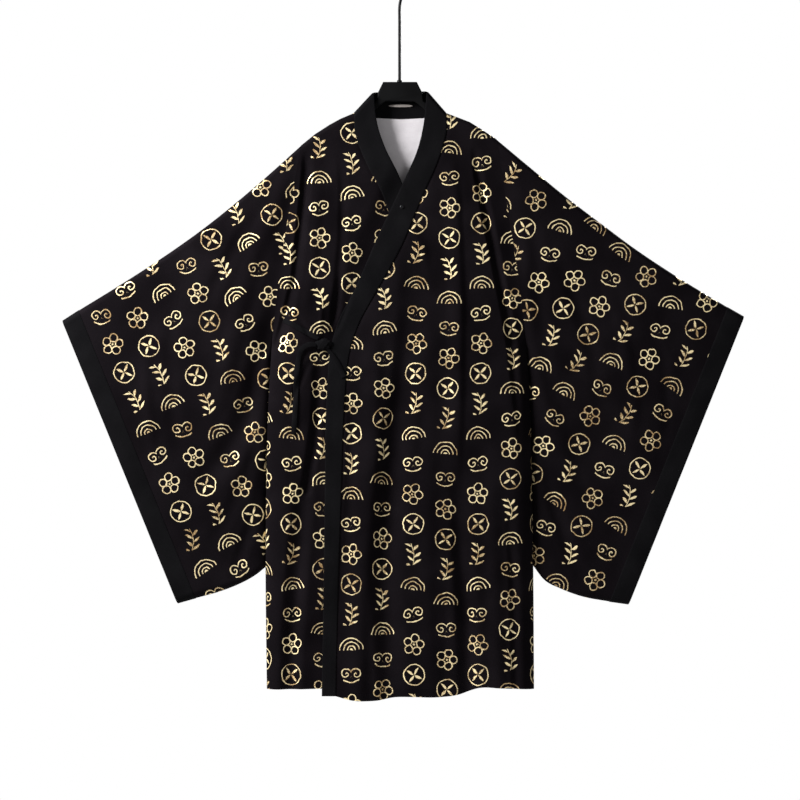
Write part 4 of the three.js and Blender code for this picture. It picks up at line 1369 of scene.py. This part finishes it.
@dataclass
class SideTie:
    """The tie: its strip from the side, its two free ends and their knot."""

    cut: Cut
    width: float = 0.0104
    thickness: float = 0.0013
    cup: float = 0.0008
    steps: int = 60
    columns: int = 8
    edge: float = 0.0005
    side_path: tuple[tuple[float, float, float], ...] = (
        (-0.222, -0.668, 0.0021), (-0.204, -0.677, 0.0022), (-0.186, -0.687, 0.0032),
        (-0.170, -0.696, 0.0054), (-0.1558, -0.704, 0.0073),
    )
    long_path: tuple[tuple[float, float, float], ...] = (
        (-0.1594, -0.716, 0.0071), (-0.172, -0.715, 0.0065), (-0.184, -0.721, 0.0050),
        (-0.192, -0.738, 0.0030), (-0.197, -0.775, 0.0021), (-0.199, -0.830, 0.0021),
        (-0.202, -0.885, 0.0023),
    )
    short_path: tuple[tuple[float, float, float], ...] = (
        (-0.1386, -0.724, 0.0026), (-0.130, -0.735, 0.0031), (-0.119, -0.751, 0.0026),
        (-0.107, -0.777, 0.0023),
    )
    knot_x: float = -0.1455
    knot_z: float = -0.7145
    knot_size: tuple[float, float, float] = (0.033, 0.0115, 0.024)
    knot_seat: float = 0.0018
    wraps: tuple[tuple[float, float, float], ...] = ((0.0125, 26.0, 1.0), (0.0085, -34.0, 0.93))
    wrap_thickness: float = 0.0024
    gather: float = 0.34
    gather_from: float = 0.012
    gather_run: float = 0.016

    def route(self, path: Sequence[tuple[float, float, float]]) -> Array:
        """Smooth route through a path's points."""
        rows = np.array(path)
        ends = np.vstack([2 * rows[0] - rows[1], rows, 2 * rows[-1] - rows[-2]])
        at = np.linspace(0.0, len(rows) - 1.0, self.steps + 1)
        k = np.minimum(at.astype(int), len(rows) - 2)
        t = (at - k)[:, None]
        a, b, c, d = ends[k], ends[k + 1], ends[k + 2], ends[k + 3]
        return 0.5 * (2 * b + (c - a) * t + (2 * a - 5 * b + 4 * c - d) * t ** 2
                      + (3 * b - a - 3 * c + d) * t ** 3)

    def strip(self, name: str, path: Sequence[tuple[float, float, float]], side: Side) -> Cloth:
        """A flat strip that follows a path of (x, z, distance from the cloth).

        Args:
            name: the strip's name.
            path: its route.
            side: the front that it lies on.

        Returns:
            The strip.
        """
        route = self.route(path)
        tangent = np.gradient(route[:, :2], axis=0)
        tangent /= np.hypot(*tangent.T)[:, None]
        across = np.linspace(-1.0, 1.0, self.columns + 1)[None, :]
        along = np.concatenate([[0.0], np.cumsum(np.hypot(*np.diff(route[:, :2], axis=0).T))])[:, None]
        from_knot = np.hypot(route[:, :1] - self.knot_x, route[:, 1:2] - self.knot_z)
        gathered = 1 - smooth((from_knot - self.gather_from) / self.gather_run)
        half = self.width / 2 * (1 - 0.10 * np.sin(along / 0.011) ** 2) * (1 - self.gather * gathered)
        x = route[:, :1] - tangent[:, 1:] * half * across
        z = route[:, 1:2] + tangent[:, :1] * half * across
        curl = self.cup * (1 - across ** 2) + 0.0004 * np.sin(along / 0.008) * across
        curl = curl + 0.0005 * gathered * np.cos(3 * math.pi * across)
        y = -(self.cut.front(side, x, z) + route[:, 2:] + curl)
        points = np.stack([x, y, z], axis=-1)
        flat = np.stack([half * across, along + 0 * across], axis=-1)
        return Cloth(name, points, flat, Outward.FRONT, self.thickness, bevel=self.edge)

    def wrap(self, width: float, tilt: float, swell: float) -> bpy.types.Mesh:
        """A strip wrapped once round the knot's middle.

        Args:
            width: the strip's width.
            tilt: its turn from upright, in degrees.
            swell: its size as a share of the knot's.

        Returns:
            The closed ring.
        """
        _, depth, height = self.knot_size
        bm = bmesh.new()
        ring = bmesh.ops.create_circle(bm, cap_ends=False, radius=0.5, segments=24)["verts"]
        for vert in ring:
            ridge = 0.0003 * math.cos(5 * math.pi * vert.co.x)
            lift = vert.co.y * self.wrap_thickness + ridge
            vert.co = Vector((vert.co.x * width, 0.0, height * 0.44 * swell + lift))
        bmesh.ops.spin(bm, geom=ring + list(bm.edges), cent=(0, 0, 0), axis=(1, 0, 0), angle=2 * math.pi,
                       steps=56, use_merge=True)
        for vert in bm.verts:
            vert.co.x *= 1 - 0.25 * abs(vert.co.z) / height
            vert.co.x += 0.0012 * math.sin(vert.co.z * 260)
            vert.co.y *= depth / height * 1.08
        bmesh.ops.rotate(bm, verts=bm.verts, cent=(0, 0, 0),
                         matrix=Matrix.Rotation(math.radians(tilt), 3, "Y"))
        mesh = bpy.data.meshes.new("wrap")
        bm.to_mesh(mesh)
        bm.free()
        return mesh

    def knot(self, material: bpy.types.Material) -> bpy.types.Object:
        """The knot: a puckered core with two strips wrapped across each other."""
        width, depth, height = self.knot_size
        core = bmesh.new()
        bmesh.ops.create_uvsphere(core, u_segments=72, v_segments=48, radius=0.5)
        for vert in core.verts:
            x, y, z = vert.co
            angle = math.atan2(z, x)
            pucker = 1.0 + 0.09 * math.sin(5 * angle + 5 * y + 0.6) + 0.04 * math.sin(11 * angle + 1.2)
            waist = 1.0 - 0.2 * math.exp(-(x / 0.16) ** 2)
            vert.co = Vector((x * width, y * depth * waist, z * height * waist)) * pucker * 0.93
        for wrap in self.wraps:
            lump = self.wrap(*wrap)
            core.from_mesh(lump)
            bpy.data.meshes.remove(lump)
        front = float(self.cut.front(RIGHT, np.array(self.knot_x), np.array(self.knot_z)))
        centre = Vector((self.knot_x, -(front + self.knot_seat + depth / 2), self.knot_z))
        bmesh.ops.translate(core, verts=core.verts, vec=centre)
        uv_layer = core.loops.layers.uv.new(UV_NAME)
        for face in core.faces:
            for corner in face.loops:
                corner[uv_layer].uv = (corner.vert.co.x, corner.vert.co.z)
        return finished("knot_cloth", core, material)

    def build(self, finishes: Finishes) -> None:
        """Makes the strips and the knot."""
        knot = self.knot(finishes.band)
        register(knot, "band_cloth", "tie_knot")
        for node, path, side in (
            ("tie_side", self.side_path, RIGHT),
            ("tie_long_end", self.long_path, RIGHT),
            ("tie_short_end", self.short_path, LEFT),
        ):
            cloth = self.strip(f"{node}_cloth", path, side)
            piece = cloth.build((finishes.band,))
            register(piece, "band_cloth", node)
            declare(cloth, piece)


@dataclass
class Fastenings:
    """The snap at the crossing and the blank label in the neck."""

    cut: Cut
    snap_x: float = 0.002
    snap_z: float = -0.454
    snap_radius: float = 0.0034
    snap_height: float = 0.0016
    band_half: float = 0.0022
    label_z: float = -0.2604
    label_size: Pair = (0.046, 0.0052)
    label_thickness: float = 0.001
    label_y: float = 0.0086

    def snap(self, material: bpy.types.Material) -> bpy.types.Object:
        """A domed cap with a rim and a small dimple."""
        bm = bmesh.new()
        profile = ((0.0, 0.62), (0.20, 0.62), (0.30, 0.95), (0.62, 0.86),
                   (0.80, 0.50), (1.0, 0.42), (1.0, 0.0), (0.0, 0.0))
        verts = [bm.verts.new((r * self.snap_radius, -h * self.snap_height, 0.0)) for r, h in profile]
        edges = [bm.edges.new(pair) for pair in zip(verts, verts[1:])]
        bmesh.ops.spin(bm, geom=verts + edges, cent=(0, 0, 0), axis=(0, 1, 0),
                       angle=2 * math.pi, steps=48, use_merge=True)
        front = float(self.cut.front(LEFT, np.array(self.snap_x), np.array(self.snap_z)))
        bmesh.ops.translate(bm, verts=bm.verts, vec=(self.snap_x, -(front + self.band_half), self.snap_z))
        return finished("snap_cap", bm, material)

    def label(self, material: bpy.types.Material) -> bpy.types.Object:
        """A blank oval of woven tape."""
        bm = bmesh.new()
        bmesh.ops.create_circle(bm, cap_ends=True, radius=0.5, segments=64)
        bmesh.ops.scale(bm, vec=(self.label_size[0], self.label_size[1], 1.0), verts=bm.verts)
        for vert in bm.verts:
            vert.co = Vector((vert.co.x, 0.0, vert.co.y))
        grown = bmesh.ops.extrude_face_region(bm, geom=list(bm.faces))["geom"]
        lifted = [item for item in grown if isinstance(item, bmesh.types.BMVert)]
        bmesh.ops.translate(bm, verts=lifted, vec=(0, -self.label_thickness, 0))
        rims = [edge for edge in bm.edges if len(edge.link_faces) == 2 and edge.calc_face_angle(0) > 1.0]
        bmesh.ops.bevel(bm, geom=rims, offset=0.0003, offset_type="OFFSET", segments=2,
                        profile=0.5, affect="EDGES", material=-1)
        bmesh.ops.translate(bm, verts=bm.verts, vec=(0, self.label_y, self.label_z))
        uv_layer = bm.loops.layers.uv.new(UV_NAME)
        for face in bm.faces:
            for corner in face.loops:
                corner[uv_layer].uv = (corner.vert.co.x, corner.vert.co.z)
        return finished("label_tape", bm, material)

    def build(self, finishes: Finishes) -> None:
        """Makes both."""
        register(self.snap(finishes.snap), "snap_metal", "snap")
        register(self.label(finishes.label), "label_cloth", "label")


@dataclass
class Hanger:
    """Flat hanger with a neck plate, and the rod that ends in a hook round the origin."""

    centre_x: float = -0.001
    thickness: float = 0.012
    bevel: float = 0.0022
    arm_height: float = 0.024
    seat: float = 0.004
    plate_side: tuple[Pair, ...] = ((0.032, -0.216), (0.042, -0.236), (0.044, -0.252), (0.066, -0.266))
    arm_stations: tuple[float, ...] = (0.089, 0.111, 0.132, 0.153, 0.173)
    tip_reach: float = 0.006
    tip_drop: float = 0.009
    tip_under_reach: float = 0.002
    tip_under_rise: float = 0.005
    throat: tuple[Pair, ...] = ((0.062, -0.282), (0.040, -0.262), (0.027, -0.253))
    rod_radius: float = 0.00275
    rod_sides: int = 24
    hook_radius: float = 0.022
    stem_x: float = -0.0019
    stem: tuple[float, ...] = (-0.180, -0.140, -0.100, -0.074)
    neck: tuple[Pair, ...] = ((0.001, -0.058), (0.007, -0.050))
    turn_from: float = -50.0
    turn_to: float = 195.0
    turn_step: float = 25.0
    foot_gap: float = 0.0003
    collar_radius: float = 0.0048
    collar_height: float = 0.0035

    def half_outline(self, sign: int) -> list[Pair]:
        """One half of the outline, from the plate's corner round the arm to the throat."""
        def place(x: float) -> float:
            """Place across at a distance from the centre."""
            return self.centre_x + sign * x

        def upper(x: float) -> float:
            """Upper edge of the arm, just under the shoulder."""
            return float(SHOULDER_LINE.straight(place(x), "z")) - self.seat

        last = self.arm_stations[-1]
        arm = [(place(x), upper(x)) for x in self.arm_stations]
        tip = [
            (place(last + self.tip_reach), upper(last) - self.tip_drop),
            (place(last + self.tip_under_reach), upper(last) - self.arm_height + self.tip_under_rise),
        ]
        under = [(place(x), upper(x) - self.arm_height) for x in self.arm_stations[-2::-1]]
        plate = [(place(x), z) for x, z in self.plate_side]
        return plate + arm + tip + under + [(place(x), z) for x, z in self.throat]

    def body(self, material: bpy.types.Material) -> bpy.types.Object:
        """The flat body."""
        bm = bmesh.new()
        outline = self.half_outline(1) + self.half_outline(-1)[::-1]
        face = bm.faces.new([bm.verts.new((x, -self.thickness / 2, z)) for x, z in outline])
        grown = bmesh.ops.extrude_face_region(bm, geom=[face])["geom"]
        moved = [item for item in grown if isinstance(item, bmesh.types.BMVert)]
        bmesh.ops.translate(bm, verts=moved, vec=(0, self.thickness, 0))
        rims = [edge for edge in bm.edges if abs(edge.verts[0].co.y - edge.verts[1].co.y) < 1e-6]
        bmesh.ops.bevel(bm, geom=rims, offset=self.bevel, offset_type="OFFSET", segments=4, profile=0.5,
                        affect="EDGES", material=-1)
        return finished("hanger_body", bm, material)

    def hook_route(self) -> list[Pair]:
        """The rod's middle line: up the stem, round the bend and over the hook."""
        centre = self.hook_radius + self.rod_radius
        foot = self.plate_side[0][1] + self.foot_gap
        knots = [(self.stem_x, z) for z in (foot, *self.stem)] + list(self.neck)
        degrees = np.arange(self.turn_from, self.turn_to, self.turn_step).tolist() + [self.turn_to]
        turns = [math.radians(value) for value in degrees]
        knots += [(centre * math.cos(a), centre * math.sin(a) - self.hook_radius) for a in turns]
        rows = np.array(knots)
        ends = np.vstack([2 * rows[0] - rows[1], rows, 2 * rows[-1] - rows[-2]])
        route = []
        for k in range(len(rows) - 1):
            a, b, c, d = ends[k:k + 4]
            for t in np.arange(6) / 6:
                route.append(0.5 * (2 * b + (c - a) * t + (2 * a - 5 * b + 4 * c - d) * t ** 2
                                    + (3 * b - a - 3 * c + d) * t ** 3))
        return [tuple(place) for place in route] + [tuple(rows[-1])]

    def hook(self, material: bpy.types.Material) -> bpy.types.Object:
        """The rod and hook, with a small collar at the plate and a rounded end."""
        route = np.array(self.hook_route())
        tangent = np.gradient(route, axis=0)
        tangent /= np.hypot(*tangent.T)[:, None]
        end, way = route[-1], tangent[-1]
        stops = [(place, direction, self.rod_radius) for place, direction in zip(route, tangent)]
        for share in (0.35, 0.65, 0.87, 0.98):
            reach = self.rod_radius * share
            stops.append((end + way * reach, way, math.sqrt(self.rod_radius ** 2 - reach ** 2)))
        foot = stops[0]
        collar = [
            (foot[0] + foot[1] * height, foot[1], radius)
            for height, radius in ((0.0, self.collar_radius), (self.collar_height * 0.7, self.collar_radius),
                                   (self.collar_height, self.collar_radius * 0.85),
                                   (self.collar_height, self.rod_radius))
        ]
        stops = collar + stops[1:]
        bm = bmesh.new()
        ring = bmesh.ops.create_circle(bm, cap_ends=True, radius=1.0, segments=self.rod_sides)["verts"]
        shape = [vert.co.xy.copy() for vert in ring]
        self.put_ring(ring, shape, *stops[0])
        edges = list(bm.edges)
        for stop in stops[1:]:
            grown = bmesh.ops.extrude_edge_only(bm, edges=edges)["geom"]
            edges = [item for item in grown if isinstance(item, bmesh.types.BMEdge)]
            fresh = [item for item in grown if isinstance(item, bmesh.types.BMVert)]
            self.put_ring(fresh, shape, *stop)
        bmesh.ops.holes_fill(bm, edges=edges, sides=0)
        return finished("hook_wire", bm, material)

    def put_ring(self, ring: Sequence[bmesh.types.BMVert], shape: Sequence[Vector], place: Array,
                 direction: Array, radius: float) -> None:
        """Places a ring of the rod square to its route."""
        for vert, (along, sideways) in zip(ring, shape):
            x = place[0] - direction[1] * along * radius
            z = place[1] + direction[0] * along * radius
            vert.co = Vector((x, sideways * radius, z))

    def build(self, finishes: Finishes) -> None:
        """Makes the body and the hook."""
        register(self.body(finishes.hanger), "hanger_black", "hanger")
        register(self.hook(finishes.wire), "hook_black", "hook")


@dataclass
class Studio:
    """Pale floor, soft light and the camera."""

    floor_z: float = -1.8
    floor_radius: float = 16.0
    fade_from: float = 0.4
    fade_to: float = 1.7
    camera_distance: float = 6.0
    middle: Pair = (-0.0011, -0.82)
    view_width: float = 1.52
    sensor: float = 36.0
    backdrop_strength: float = 1.0
    world_strength: float = 0.18

    def floor(self) -> None:
        """A wide disc that turns into the backdrop's white with distance."""
        bm = bmesh.new()
        bmesh.ops.create_circle(bm, cap_ends=True, radius=self.floor_radius, segments=96)
        bmesh.ops.translate(bm, verts=bm.verts, vec=(0, 0, self.floor_z))
        graph = Graph("studio_floor")
        place = graph.node("ShaderNodeTexCoord").outputs["Object"]
        parts = graph.node("ShaderNodeSeparateXYZ", inputs={0: place}).outputs
        distance = hypot(Number(graph, parts[0]), Number(graph, parts[1]))
        far = graph.step(distance, self.fade_from, self.fade_to)
        matte = graph.node("ShaderNodeBsdfDiffuse", inputs={"Color": (0.86, 0.86, 0.86)})
        clear = graph.node("ShaderNodeBsdfTransparent")
        mixed = graph.node("ShaderNodeMixShader", inputs={0: far, 1: matte.outputs[0], 2: clear.outputs[0]})
        graph.node("ShaderNodeOutputMaterial", inputs={0: mixed.outputs[0]})
        finished("studio_floor", bm, graph.material)

    def light(self, name: str, place: Sequence[float], size: float, power: float) -> None:
        """A soft square light that faces the cloak's middle."""
        data = bpy.data.lights.new(name, "AREA")
        data.size = size
        data.energy = power
        lamp = bpy.data.objects.new(name, data)
        lamp.location = place
        aim = Vector((self.middle[0], 0.0, self.middle[1])) - Vector(place)
        lamp.rotation_euler = aim.to_track_quat("-Z", "Y").to_euler()
        lamp.visible_camera = False
        bpy.context.scene.collection.objects.link(lamp)

    def world(self) -> bpy.types.World:
        """A white backdrop that lights the cloak more softly than it looks."""
        world = bpy.data.worlds.new("studio_world")
        world.use_nodes = True
        tree = world.node_tree
        background = tree.nodes["Background"]
        background.inputs["Color"].default_value = (1.0, 1.0, 1.0, 1.0)
        seen = tree.nodes.new("ShaderNodeLightPath").outputs["Is Camera Ray"]
        strength = tree.nodes.new("ShaderNodeMapRange")
        strength.inputs["To Min"].default_value = self.world_strength
        strength.inputs["To Max"].default_value = self.backdrop_strength
        tree.links.new(seen, strength.inputs["Value"])
        tree.links.new(strength.outputs[0], background.inputs["Strength"])
        return world

    def build(self) -> None:
        """Makes the floor, the lights, the world and the camera."""
        self.floor()
        self.light("key", (-4.2, -2.0, 1.0), 1.7, 325.0)
        self.light("side", (-1.0, -0.45, 0.0), 0.5, 22.0)
        self.light("fill", (2.6, -4.2, -0.4), 2.2, 34.0)
        self.light("rear", (1.8, 3.6, 1.0), 1.6, 200.0)
        scene = bpy.context.scene
        scene.world = self.world()
        scene.view_settings.view_transform = "Standard"
        data = bpy.data.cameras.new("camera")
        data.sensor_width = self.sensor
        data.lens = self.sensor * self.camera_distance / self.view_width
        camera = bpy.data.objects.new("camera", data)
        camera.location = (self.middle[0], -self.camera_distance, self.middle[1])
        camera.rotation_euler = (math.pi / 2, 0.0, 0.0)
        scene.collection.objects.link(camera)
        scene.camera = camera


def main() -> None:
    """Builds the cloak piece by piece around the frame."""
    logging.basicConfig(level=logging.INFO, format="%(name)s: %(message)s")
    cut = Cut()
    finishes = Finishes.make()
    Studio().build()
    Hanger().build(finishes)
    panels = BodyPanels(cut).build(finishes)
    bands = CollarBands(cut).build(finishes)
    for panel, band in (("back", "band_neck"), ("front_right", "band_right"), ("front_left", "band_left")):
        cloth, piece = panels[panel]
        declare(cloth, piece)
    for side in (RIGHT, LEFT):
        Sleeve(cut, side).build(finishes)
    SideTie(cut).build(finishes)
    Fastenings(cut).build(finishes)


if __name__ == "__main__":
    main()
